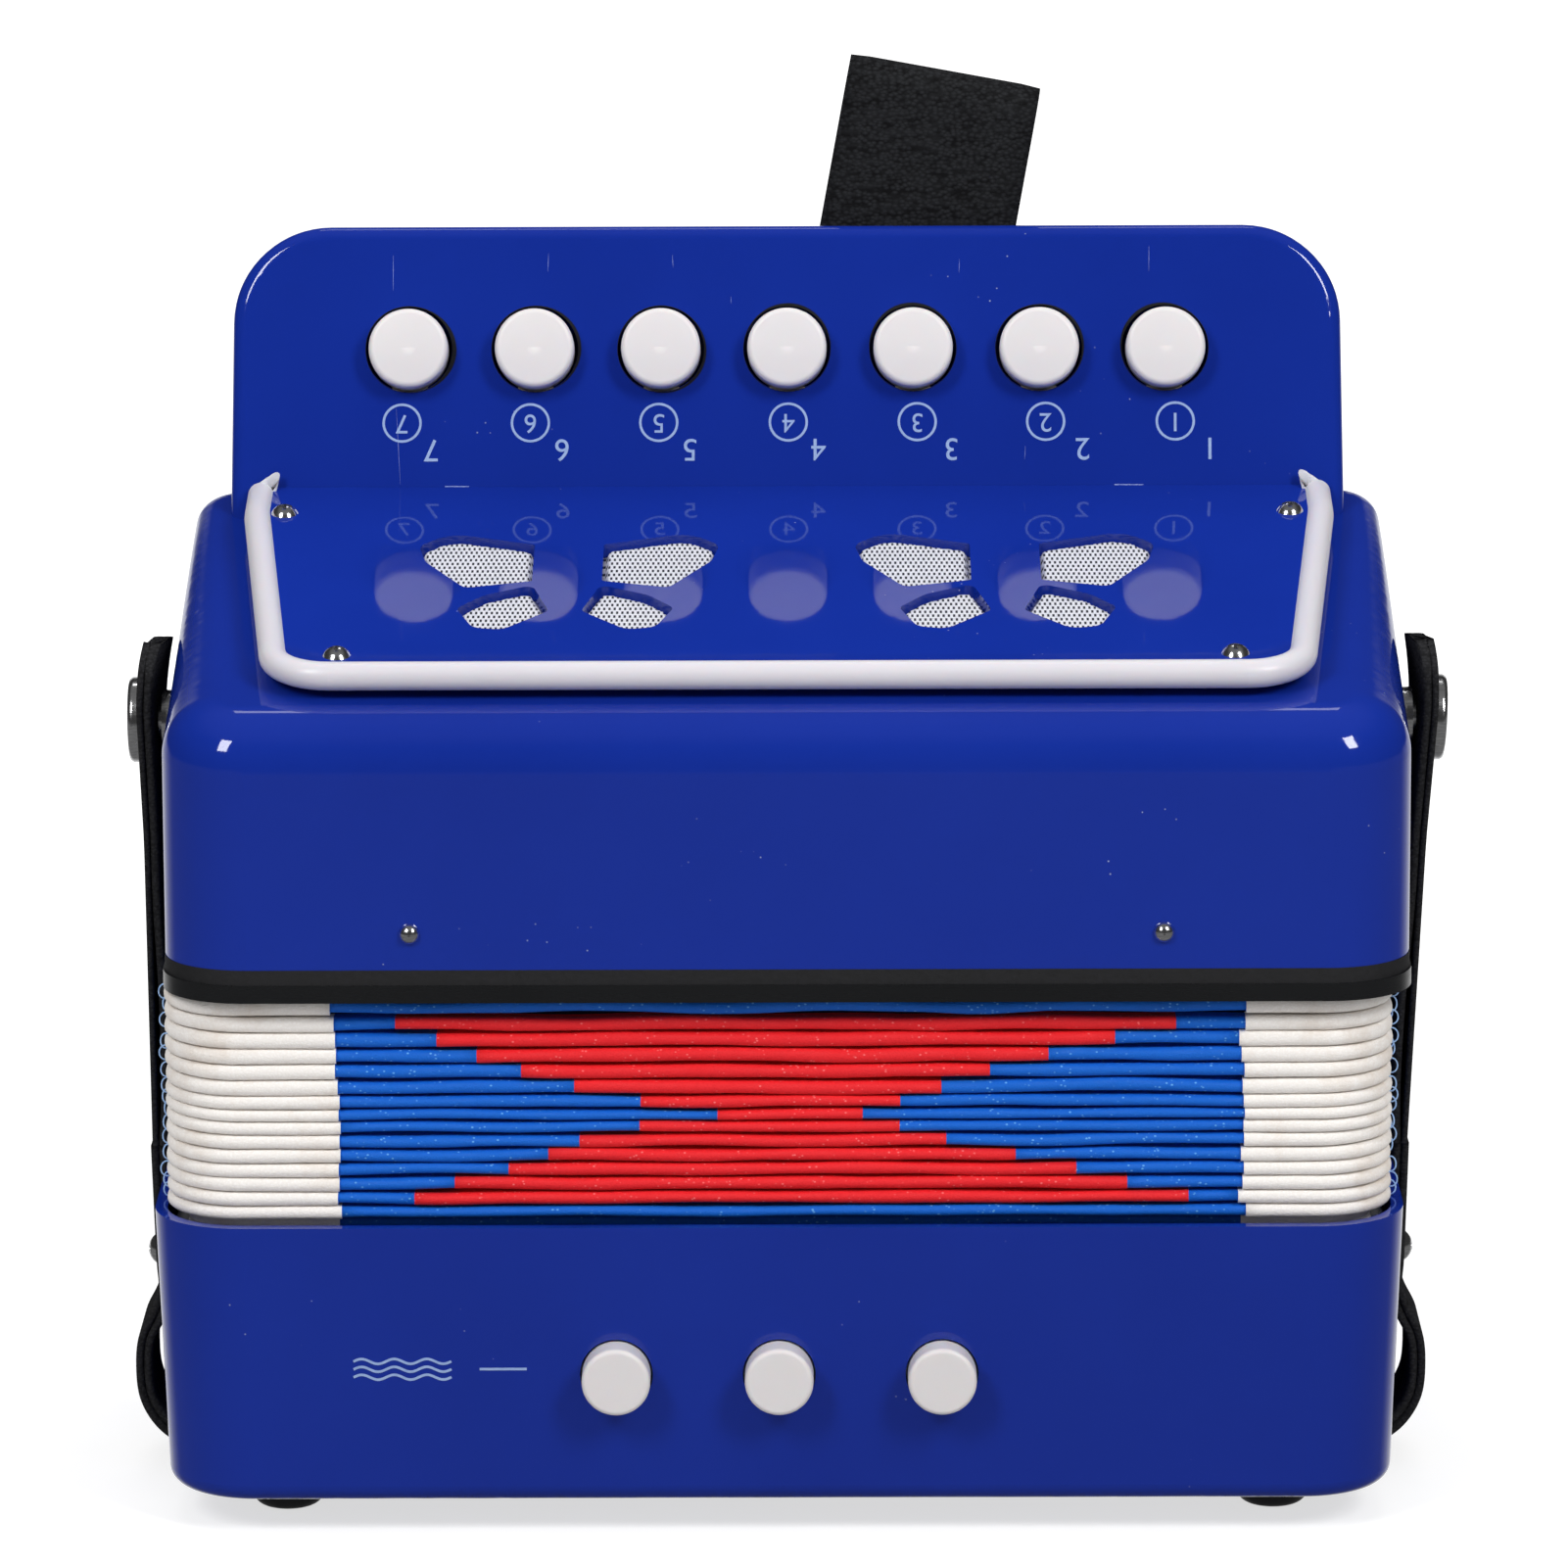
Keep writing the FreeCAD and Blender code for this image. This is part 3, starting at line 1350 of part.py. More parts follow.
bass_end = ["bass_box", "rubber_feet", "bass_board", "bass_board_screws", "bass_reed_block",
            "bass_reed_plates", "bass_springs", "side_screws", "hand_strap", "bellows_frame_lower", "bellows"]
for number in range(1, bass_count + 1):
    bass_end += ["bass_button_%d" % number, "bass_valve_%d" % number]
for name in bass_end:
    pieces[name].translate(V(-end_shift, 0, 0))

# The frame's origin lies under the middle of the whole object
exact_boxes = [shape.optimalBoundingBox(False) for shape in pieces.values()]
leftmost = min(extent.XMin for extent in exact_boxes)
rightmost = max(extent.XMax for extent in exact_boxes)
nearest = min(extent.YMin for extent in exact_boxes)
furthest = max(extent.YMax for extent in exact_boxes)
centring = V(-(leftmost + rightmost) / 2, -(nearest + furthest) / 2, 0)

os.makedirs("parts", exist_ok=True)
for name, shape in pieces.items():
    shape.translate(centring)
    shape.exportStep("parts/" + name + ".step")

print("pieces", len(pieces), "centring", round(centring.x, 4), round(centring.y, 4))
print("axle at", round(axle_depth + centring.y, 4), round(axle_level, 4))
print("key swing", round(math.degrees(key_swing), 3))
print("left hinge", round(centring.x - strap_hinge(-1), 4), "right hinge", round(centring.x + strap_hinge(1), 4))
print("hinges at", round(strap_middle + centring.y, 4), round(hinge_level, 4))
print("bellows fixed end", round(bellows_level, 4), "soundboard top", round(soundboard_top, 4))
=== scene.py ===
import bpy
import math
from mathutils import Matrix, Vector, noise
from mathutils.bvhtree import BVHTree


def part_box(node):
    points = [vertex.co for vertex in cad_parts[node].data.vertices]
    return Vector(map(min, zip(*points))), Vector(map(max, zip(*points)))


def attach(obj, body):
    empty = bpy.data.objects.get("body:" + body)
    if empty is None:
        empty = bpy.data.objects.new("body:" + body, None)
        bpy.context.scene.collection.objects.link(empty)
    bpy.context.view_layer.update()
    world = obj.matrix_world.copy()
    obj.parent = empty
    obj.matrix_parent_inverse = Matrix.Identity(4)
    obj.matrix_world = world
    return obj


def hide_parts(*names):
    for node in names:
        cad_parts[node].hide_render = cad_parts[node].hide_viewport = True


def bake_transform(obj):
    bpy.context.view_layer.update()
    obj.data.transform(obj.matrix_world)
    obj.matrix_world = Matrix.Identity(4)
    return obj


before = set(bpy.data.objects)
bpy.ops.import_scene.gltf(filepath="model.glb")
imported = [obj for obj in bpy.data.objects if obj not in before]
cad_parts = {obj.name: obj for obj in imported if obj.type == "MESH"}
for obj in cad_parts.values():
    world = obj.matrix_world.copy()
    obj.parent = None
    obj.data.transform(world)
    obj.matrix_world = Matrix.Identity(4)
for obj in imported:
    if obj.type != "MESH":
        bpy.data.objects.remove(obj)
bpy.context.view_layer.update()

# Places read from the frame, in metres. X runs along the keyboard, Y to the back, Z up.
MM = 0.001
casing_low, casing_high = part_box("treble_casing")
bass_low, bass_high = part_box("bass_box")
bellows_low, bellows_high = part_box("bellows")
front = casing_low.y
casing_mid = (casing_low.x + casing_high.x) / 2
bass_mid = (bass_low.x + bass_high.x) / 2
bellows_mid = (bellows_low.x + bellows_high.x) / 2
rim_level = bass_high.z
bellows_near = (bellows_low.y - front) / MM
bellows_far = (bellows_high.y - front) / MM

# Angles and places of the frame that the dressing follows. The board and the panel meet at the hinge line.
top_slope = math.radians(10.7)
board_lean = math.radians(15)
bass_draft = math.radians(2)
hinge_y = front + 92 * MM
hinge_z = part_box("grille_panel")[1].z
ink_height = 0.03 * MM


# Mesh helpers

def placed(name, data):
    """New object with its data, in the scene."""
    thing = bpy.data.objects.new(name, data)
    bpy.context.scene.collection.objects.link(thing)
    return thing


def add_mesh(name, vertices, faces, smooth=True):
    """New object from points and faces, shaded smooth or flat."""
    mesh = bpy.data.meshes.new(name)
    mesh.from_pydata([tuple(v) for v in vertices], [], faces)
    mesh.polygons.foreach_set("use_smooth", [smooth] * len(mesh.polygons))
    mesh.update()
    return placed(name, mesh)


def joined(name, pieces, material):
    """One object from several meshes, in one material."""
    bpy.ops.object.select_all(action="DESELECT")
    for piece in pieces:
        piece.select_set(True)
    bpy.context.view_layer.objects.active = pieces[0]
    if len(pieces) > 1:
        bpy.ops.object.join()
    result = bpy.context.view_layer.objects.active
    result.name = name
    result.data.name = name
    result.data.materials.clear()
    result.data.materials.append(material)
    return result


def grid_faces(rings, per_ring, closed_ring, closed_way):
    """Quad faces over rows of points, each row a ring or an open line."""
    faces = []
    last_way = rings if closed_way else rings - 1
    last_ring = per_ring if closed_ring else per_ring - 1
    for i in range(last_way):
        for j in range(last_ring):
            a = i * per_ring + j
            b = i * per_ring + (j + 1) % per_ring
            c = ((i + 1) % rings) * per_ring + (j + 1) % per_ring
            d = ((i + 1) % rings) * per_ring + j
            faces.append((a, b, c, d))
    return faces


def capped_faces(rings, per_ring):
    """Faces of a closed tube along an open line, with both ends capped."""
    faces = grid_faces(rings, per_ring, True, False)
    faces.append(tuple(range(per_ring)))
    faces.append(tuple(reversed(range((rings - 1) * per_ring, rings * per_ring))))
    return faces


def smooth_line(points, steps):
    """Points along a smooth line that passes through the given points."""
    line = []
    for i in range(len(points) - 1):
        before = points[max(i - 1, 0)]
        start = points[i]
        end = points[i + 1]
        after = points[min(i + 2, len(points) - 1)]
        for step in range(steps):
            t = step / steps
            line.append(0.5 * ((2 * start) + (end - before) * t
                               + (2 * before - 5 * start + 4 * end - after) * t ** 2
                               + (3 * start - before - 3 * end + after) * t ** 3))
    line.append(points[-1].copy())
    return line


def way_along(line, i):
    """Direction of a line at one of its points."""
    return (line[min(i + 1, len(line) - 1)] - line[max(i - 1, 0)]).normalized()


# Material helpers

class Nodes:
    """A shader node tree under construction."""

    def __init__(self, tree, interpolation="LINEAR"):
        self.tree = tree
        self.interpolation = interpolation
        tree.nodes.clear()

    def node(self, kind, **inputs):
        """New node with plain values on the named inputs."""
        node = self.tree.nodes.new("ShaderNode" + kind)
        for name, value in inputs.items():
            node.inputs[name.replace("_", " ")].default_value = value
        return node

    def link(self, source, target):
        self.tree.links.new(source, target)

    def ramp(self, source, low, high, low_value, high_value):
        """A value that runs between two levels as the source does."""
        node = self.node("MapRange", From_Min=low, From_Max=high, To_Min=low_value, To_Max=high_value)
        node.interpolation_type = self.interpolation
        self.link(source, node.inputs["Value"])
        return node.outputs["Result"]

    def math(self, operation, first, second=0.0):
        """Result of an operation on a socket and, where it takes two, a second socket or a number."""
        node = self.node("Math")
        node.operation = operation
        self.link(first, node.inputs[0])
        if isinstance(second, (int, float)):
            node.inputs[1].default_value = second
        else:
            self.link(second, node.inputs[1])
        return node.outputs["Value"]


class Recipe(Nodes):
    """A procedural material under construction."""

    def __init__(self, name):
        self.material = bpy.data.materials.new(name)
        self.material.use_nodes = True
        super().__init__(self.material.node_tree)
        output = self.node("OutputMaterial")
        self.shader = self.node("BsdfPrincipled")
        self.link(self.shader.outputs["BSDF"], output.inputs["Surface"])
        self.place = self.node("TexCoord").outputs["Object"]

    def set(self, **values):
        for name, value in values.items():
            self.shader.inputs[name.replace("_", " ")].default_value = value

    def stretched(self, scale):
        """Object coordinates scaled by axis."""
        node = self.node("Mapping", Scale=scale)
        self.link(self.place, node.inputs["Vector"])
        return node.outputs["Vector"]

    def noise(self, scale, detail, roughness=0.5, place=None):
        node = self.node("TexNoise", Scale=scale, Detail=detail, Roughness=roughness)
        self.link(place or self.place, node.inputs["Vector"])
        return node.outputs["Fac"]

    def cells(self, scale, place=None):
        node = self.node("TexVoronoi", Scale=scale)
        self.link(place or self.place, node.inputs["Vector"])
        return node.outputs["Distance"]

    def mix(self, factor, first, second):
        """Colour between two, each a colour or a socket."""
        node = self.node("Mix")
        node.data_type = "RGBA"
        self.link(factor, node.inputs["Factor"])
        for socket, value in (("A", first), ("B", second)):
            target = [s for s in node.inputs if s.name == socket and s.type == "RGBA"][0]
            if isinstance(value, tuple):
                target.default_value = value
            else:
                self.link(value, target)
        return [s for s in node.outputs if s.type == "RGBA"][0]

    def colour(self, source):
        self.link(source, self.shader.inputs["Base Color"])

    def roughness(self, source):
        self.link(source, self.shader.inputs["Roughness"])

    def bump(self, source, distance, strength):
        """Bump of a height that is 0 to 1, over a distance in metres; later calls add to earlier ones."""
        node = self.node("Bump", Strength=strength, Distance=distance)
        self.link(source, node.inputs["Height"])
        if self.shader.inputs["Normal"].links:
            self.link(self.shader.inputs["Normal"].links[0].from_socket, node.inputs["Normal"])
        self.link(node.outputs["Normal"], self.shader.inputs["Normal"])


def srgb(red, green, blue):
    """Linear colour from 8-bit screen values."""
    linear = []
    for value in (red, green, blue):
        share = value / 255
        linear.append(share / 12.92 if share <= 0.04045 else ((share + 0.055) / 1.055) ** 2.4)
    return (*linear, 1.0)


def moulded(name, main, shade, rough_low, rough_high, specks=True, **settings):
    """Moulded plastic with faint flow marks, orange peel, wiping scratches and a little dust."""
    recipe = Recipe(name)
    flow = recipe.noise(14, detail=4, roughness=0.55)
    base = recipe.mix(recipe.ramp(flow, 0.35, 0.65, 0, 1), main, shade)
    if specks:
        dust = recipe.cells(420)
        patch = recipe.noise(37, detail=2)
        near = recipe.ramp(dust, 0.045, 0.075, 1, 0)
        sparse = recipe.ramp(patch, 0.60, 0.68, 0, 1)
        base = recipe.mix(recipe.math("MULTIPLY", near, sparse), base, srgb(150, 160, 190))
    recipe.colour(base)
    wiping = recipe.noise(30, detail=6, roughness=0.7, place=recipe.stretched((1, 1, 26)))
    smudge = recipe.noise(22, detail=3)
    blend = recipe.math("MULTIPLY", recipe.ramp(wiping, 0.35, 0.75, 0, 1),
                        recipe.ramp(smudge, 0.3, 0.7, 0.3, 1))
    recipe.roughness(recipe.ramp(blend, 0, 1, rough_low, rough_high))
    recipe.bump(recipe.noise(260, detail=2), 0.02 * MM, 0.25)
    recipe.set(**settings)
    return recipe.material


def leather(name, tone, painted_sheen_tone, grain):
    """Imitation leather with pebbled grain and fine creases across the band; the pebble tops and the creases
    are painted lighter, a painted sheen.
    """
    recipe = Recipe(name)
    pebble = recipe.cells(grain, place=recipe.stretched((1, 1, 1.5)))
    crease = recipe.noise(grain * 0.32, detail=4, roughness=0.65, place=recipe.stretched((0.5, 1, 2.4)))
    # Painted sheen: pebble tops and creases are mixed toward a lighter tone in place of a specular sheen.
    tint = recipe.mix(recipe.ramp(pebble, 0.1, 0.7, 0, 1), painted_sheen_tone, tone)
    recipe.colour(recipe.mix(recipe.ramp(crease, 0.4, 0.75, 0, 0.6), tint, painted_sheen_tone))
    recipe.roughness(recipe.ramp(crease, 0.3, 0.7, 0.62, 0.8))
    recipe.set(Specular_IOR_Level=0.0)
    recipe.bump(recipe.ramp(pebble, 0.0, 0.6, 1, 0), 0.12 * MM, 0.6)
    recipe.bump(crease, 0.3 * MM, 0.5)
    return recipe.material


def cloth(name, tone, thread_tone, weave, stain=None, painted_glint=None, fuzz=0.25):
    """Coated bellows cloth: fine weave, slight fading and, where asked for, stains or painted glints, sparse
    lighter specks in the base colour that stand for sparkle of light.
    """
    recipe = Recipe(name)
    across = recipe.cells(weave, place=recipe.stretched((1.0, 1.0, 1.6)))
    mottle = recipe.noise(160, detail=4, roughness=0.6)
    base = recipe.mix(recipe.ramp(across, 0.05, 0.55, 1, 0), thread_tone, tone)
    base = recipe.mix(recipe.ramp(mottle, 0.45, 0.8, 0, 0.35), base, thread_tone)
    if stain is not None:
        patch = recipe.noise(55, detail=5, roughness=0.7)
        base = recipe.mix(recipe.ramp(patch, 0.50, 0.72, 0, 0.6), base, stain)
    # Painted glints: sparse small specks mixed toward a lighter colour, standing for sparkle of light on the
    # coated cloth.
    if painted_glint is not None:
        spots = recipe.ramp(recipe.cells(1000, place=recipe.stretched((1.0, 1.0, 1.4))), 0.12, 0.26, 1, 0)
        rare = recipe.ramp(recipe.noise(300, detail=2), 0.49, 0.56, 0, 0.8)
        base = recipe.mix(recipe.math("MULTIPLY", spots, rare), base, painted_glint)
    recipe.colour(base)
    recipe.roughness(recipe.ramp(mottle, 0.3, 0.7, 0.5, 0.8))
    recipe.set(Sheen_Weight=fuzz, Sheen_Roughness=0.4, Specular_IOR_Level=0.3)
    recipe.bump(across, 0.12 * MM, 0.45)
    recipe.bump(mottle, 0.2 * MM, 0.5)
    return recipe.material


def plated(name, tone, rough_low, rough_high):
    """Plated metal with faint streaks and pits."""
    recipe = Recipe(name)
    streak = recipe.noise(700, detail=3, place=recipe.stretched((1, 1, 6)))
    recipe.colour(recipe.mix(recipe.ramp(streak, 0.3, 0.7, 0, 0.4), tone, srgb(120, 122, 128)))
    recipe.roughness(recipe.ramp(streak, 0.3, 0.7, rough_low, rough_high))
    recipe.set(Metallic=1.0)
    recipe.bump(recipe.noise(1500, detail=2), 0.02 * MM, 0.2)
    return recipe.material


def dull(name, tone, second_tone, rough, grain):
    """Plain matt stuff with a fine grain."""
    recipe = Recipe(name)
    spots = recipe.noise(grain, detail=4, roughness=0.6)
    recipe.colour(recipe.mix(recipe.ramp(spots, 0.3, 0.7, 0, 1), tone, second_tone))
    recipe.roughness(recipe.ramp(spots, 0.3, 0.7, rough, rough + 0.15))
    recipe.bump(spots, 0.08 * MM, 0.4)
    return recipe.material


def woven_mesh(name):
    """Silver weave in staggered rows along Y; the openings between threads are painted near-black, painted
    shade of the hollow behind.
    """
    recipe = Recipe(name)
    pitch = 0.86 * MM
    row_length = 1.95
    parts = recipe.node("SeparateXYZ")
    recipe.link(recipe.place, parts.inputs["Vector"])
    across = recipe.math("MULTIPLY", parts.outputs["X"], 1 / pitch)
    along = recipe.math("MULTIPLY", parts.outputs["Y"], 1 / pitch / row_length)
    odd = recipe.math("MULTIPLY", recipe.math("MODULO", recipe.math("FLOOR", along), 2), 0.5)
    column = recipe.math("ADD", across, odd)
    side = recipe.math("ABSOLUTE", recipe.math("SUBTRACT", recipe.math("FRACT", column), 0.5))
    height = recipe.math("ABSOLUTE", recipe.math("SUBTRACT", recipe.math("FRACT", along), 0.5))
    # Openings between the threads, painted near-black as the shade of the hollow behind.
    hole_shade = recipe.math("MULTIPLY", recipe.ramp(side, 0.18, 0.26, 1, 0),
                       recipe.ramp(height, 0.30, 0.36, 1, 0))
    wire = recipe.noise(2600, detail=2)
    tone = recipe.mix(recipe.ramp(wire, 0.3, 0.7, 0, 1), srgb(240, 240, 244), srgb(214, 215, 224))
    recipe.colour(recipe.mix(hole_shade, tone, srgb(16, 18, 40)))
    recipe.roughness(recipe.ramp(hole_shade, 0, 1, 0.38, 0.8))
    thread = recipe.math("MULTIPLY", recipe.ramp(side, 0.15, 0.5, 0, 1),
                         recipe.ramp(height, 0.2, 0.5, 0.3, 1))
    recipe.bump(thread, 0.25 * MM, 0.8)
    return recipe.material


blue_main = srgb(19, 46, 149)
blue_shade = srgb(17, 43, 143)
shell_blue = moulded("shell_blue", blue_main, blue_shade, 0.05, 0.12)
panel_blue = moulded("panel_blue", blue_main, blue_shade, 0.03, 0.06, Specular_IOR_Level=0.36)
trim_white = moulded("trim_white", srgb(216, 213, 219), srgb(212, 209, 216), 0.30, 0.38, specks=False,
                     Subsurface_Weight=0.12, Subsurface_Scale=0.002)
button_white = moulded("button_white", srgb(228, 224, 224), srgb(226, 222, 222), 0.40, 0.46, specks=False,
                       Subsurface_Weight=0.10, Subsurface_Scale=0.002)
frame_black = moulded("frame_black", srgb(20, 21, 23), srgb(15, 16, 18), 0.24, 0.40, specks=False)
rubber_black = dull("rubber_black", srgb(38, 38, 40), srgb(46, 46, 48), 0.5, 900)
foam_black = dull("foam_black", srgb(22, 22, 24), srgb(30, 30, 33), 0.7, 1400)
strap_leather = leather("strap_leather", srgb(31, 31, 32), srgb(50, 50, 52), 1500)
thumb_leather = leather("thumb_leather", srgb(22, 22, 23), srgb(44, 45, 47), 1150)
nickel = plated("nickel", srgb(246, 246, 247), 0.13, 0.24)
zinc = plated("zinc", srgb(180, 182, 186), 0.25, 0.45)
spring_steel = plated("spring_steel", srgb(150, 152, 158), 0.3, 0.5)
reed_brass = plated("reed_brass", srgb(196, 164, 92), 0.25, 0.45)
board_grey = dull("board_grey", srgb(150, 152, 156), srgb(136, 138, 142), 0.5, 500)
cream_plastic = dull("cream_plastic", srgb(226, 216, 190), srgb(214, 204, 178), 0.4, 300)
pad_felt = dull("pad_felt", srgb(176, 34, 34), srgb(140, 24, 26), 0.85, 2600)
tape_blue = cloth("tape_blue", srgb(2, 94, 200), srgb(6, 100, 206), 2600, painted_glint=srgb(110, 180, 240),
                  fuzz=0.03)
tape_red = cloth("tape_red", srgb(228, 22, 32), srgb(236, 34, 42), 2600, painted_glint=srgb(250, 120, 120),
                 fuzz=0.03)
tape_white = cloth("tape_white", srgb(252, 249, 246), srgb(244, 239, 234), 2200, stain=srgb(213, 195, 177),
                   fuzz=0.1)
# Near-black material for the bellows' fold valleys and inner wall: painted shade of the gaps between folds.
fold_gap_shade = dull("fold_gap_shade", srgb(10, 16, 40), srgb(16, 22, 50), 0.8, 700)
loop_thread = dull("loop_thread", srgb(140, 180, 232), srgb(170, 200, 240), 0.7, 3000)
grille_weave = woven_mesh("grille_weave")
print_ink = dull("print_ink", srgb(158, 182, 226), srgb(140, 166, 214), 0.45, 1200)
# Near-black painted shade for the gaps round the treble buttons.
well_shade_dark = dull("well_shade_dark", srgb(7, 8, 14), srgb(12, 13, 20), 0.8, 900)
scuff_pale = dull("scuff_pale", srgb(96, 118, 196), srgb(150, 162, 214), 0.5, 1800)

nodes_by_material = (
    (shell_blue, "bass_box treble_casing fingerboard fingerboard_back"),
    (panel_blue, "grille_panel"), (trim_white, "trim_tube"), (rubber_black, "rubber_feet"),
    (frame_black, "bellows_frame_upper bellows_frame_lower"), (foam_black, "bellows_gasket"),
    (nickel, "bellows_pins grille_screws side_screws snap_studs snap_cap_left snap_cap_right"),
    (zinc, "case_screws bass_board_screws"), (spring_steel, "bass_springs treble_springs treble_axle"),
    (reed_brass, "bass_reed_plates treble_reed_plate"), (board_grey, "bass_board treble_soundboard"),
    (cream_plastic, "bass_reed_block treble_reed_block"), (grille_weave, "mesh_cloth"),
)
node_materials = {name: material for material, names in nodes_by_material for name in names.split()}
for number in range(1, 8):
    node_materials["treble_button_%d" % number] = button_white
    node_materials["treble_lever_%d" % number] = cream_plastic
    node_materials["treble_pad_%d" % number] = pad_felt
for number in range(1, 4):
    node_materials["bass_button_%d" % number] = button_white
    node_materials["bass_valve_%d" % number] = pad_felt

for name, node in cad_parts.items():
    if name in node_materials:
        node.data.materials.clear()
        node.data.materials.append(node_materials[name])


# Bellows: stacked folds with cloth tape on their edges, in millimetres, by rows measured from the top.
# Each row is white at its ends and blue between, and most are red from a start to an end.
fold_levels = [88.2, 85.65, 83.1, 80.3, 77.8, 75.1, 72.5, 70.5, 68.4, 66.1, 63.6, 61.3, 58.9, 56.4, 54.2,
               51.8, 49.6]
red_starts = [None, -63.7, -57.0, -50.5, -43.3, -34.7, -23.9, -11.4, -24.1, -33.9, -39.0, -45.5, -54.3, -60.9,
              None, None, None]
red_ends = [None, 63.2, 53.3, 42.5, 33.0, 25.1, 18.4, 12.3, 18.3, 25.9, 37.2, 47.1, 55.4, 65.4,
            None, None, None]
white_lefts = [-74.2, -73.6, -73.4, -73.3, -73.5, -73.1, -72.8, -73.0, -72.7, -72.9, -72.8, -73.1, -73.0, -73.3,
               -72.7, -73.2, -73.2]
white_rights = [74.5, 74.4, 73.4, 73.8, 74.3, 74.0, 74.2, 74.4, 74.2, 74.3, 73.8, 74.3, 74.1, 73.4, 74.7,
                74.0, 74.0]
step_shift = (casing_mid - bellows_mid) / MM
red_starts = [x if x is None else x + step_shift for x in red_starts]
red_ends = [x if x is None else x + step_shift for x in red_ends]
white_lefts = [x + step_shift for x in white_lefts]
white_rights = [x + step_shift for x in white_rights]
white_round_side = 24.0
fold_corner = 13.0
fold_reach = 5.2
wall_depth = 12.5
station_step = 3.2
step_gap = 0.03
least_gap = 0.02
corner_steps = 10

# A tape's section: depth behind its nose, and half its height as a share
tape_nose = [(0.0, 0.0), (0.10, 0.22), (0.42, 0.40), (1.1, 0.50), (2.4, 0.47), (fold_reach, 0.36)]


def bellows_stations():
    """Places round the bellows: point, outward way and zone, from the front's left end round to it again."""
    half = (bellows_high.x - bellows_mid) / MM
    near, far = bellows_near, bellows_far
    stations = []
    straight = half - fold_corner

    def side_run(start, end, make):
        count = max(int(abs(end - start) / station_step), 1)
        for i in range(count + 1):
            stations.append(make(start + (end - start) * i / count))

    def corner(centre, first_angle):
        for i in range(1, corner_steps):
            angle = math.radians(first_angle + 90 * i / corner_steps)
            way = (math.cos(angle), math.sin(angle))
            place = (centre[0] + fold_corner * way[0], centre[1] + fold_corner * way[1])
            stations.append((place, way, "corner"))

    breaks = sorted(set([x for x in red_starts + red_ends if x is not None] + white_lefts + white_rights))
    marks = [-straight]
    for x in breaks:
        marks += [x - step_gap, x + step_gap]
    marks.append(straight)
    for i in range(len(marks) - 1):
        if marks[i + 1] - marks[i] <= 2 * step_gap + 0.001:
            stations.append(((marks[i], near), (0, -1), "front"))
            continue
        count = max(int((marks[i + 1] - marks[i]) / station_step), 1)
        for j in range(count):
            x = marks[i] + (marks[i + 1] - marks[i]) * j / count
            stations.append(((x, near), (0, -1), "front"))
    stations.append(((straight, near), (0, -1), "front"))
    corner((straight, near + fold_corner), -90)
    side_marks = [near + fold_corner, near + white_round_side - step_gap, near + white_round_side + step_gap,
                  far - white_round_side - step_gap, far - white_round_side + step_gap, far - fold_corner]
    for i in range(5):
        side_run(side_marks[i], side_marks[i + 1], lambda y: ((half, y), (1, 0), "side"))
    corner((straight, far - fold_corner), 0)
    back_marks = [straight]
    for x in reversed(breaks):
        back_marks += [x + step_gap, x - step_gap]
    back_marks.append(-straight)
    for i in range(len(back_marks) - 1):
        side_run(back_marks[i], back_marks[i + 1], lambda x: ((x, far), (0, 1), "back"))
    corner((-straight, far - fold_corner), 90)
    for i in range(5):
        side_run(side_marks[5 - i], side_marks[4 - i], lambda y: ((-half, y), (-1, 0), "side"))
    corner((-straight, near + fold_corner), 180)
    clean = [stations[0]]
    for station in stations[1:]:
        if math.dist(station[0], clean[-1][0]) > least_gap:
            clean.append(station)
    return clean


def tape_at(row, place, zone):
    """Name of the tape that covers a row at a place."""
    x, y = place
    if zone == "corner":
        return "white"
    if zone == "side":
        rounded = y < bellows_near + white_round_side or y > bellows_far - white_round_side
        return "white" if rounded else "blue"
    if x < white_lefts[row] or x > white_rights[row]:
        return "white"
    start = red_starts[row]
    return "red" if start is not None and start < x < red_ends[row] else "blue"


tape_fullness = {"white": 0.97, "blue": 0.80, "red": 0.84}
tape_proud = {"white": 0.0, "blue": 0.50, "red": 0.38}
white_calm = 0.35
drift_share = 0.42
swell_share = 0.16
push_depth = 0.35
tallest_fold = 2.9
hold_share = 0.42
skin_depth = 0.05
side_bulge = 0.9
last_seen_row = 14
hidden_depth = 3.2


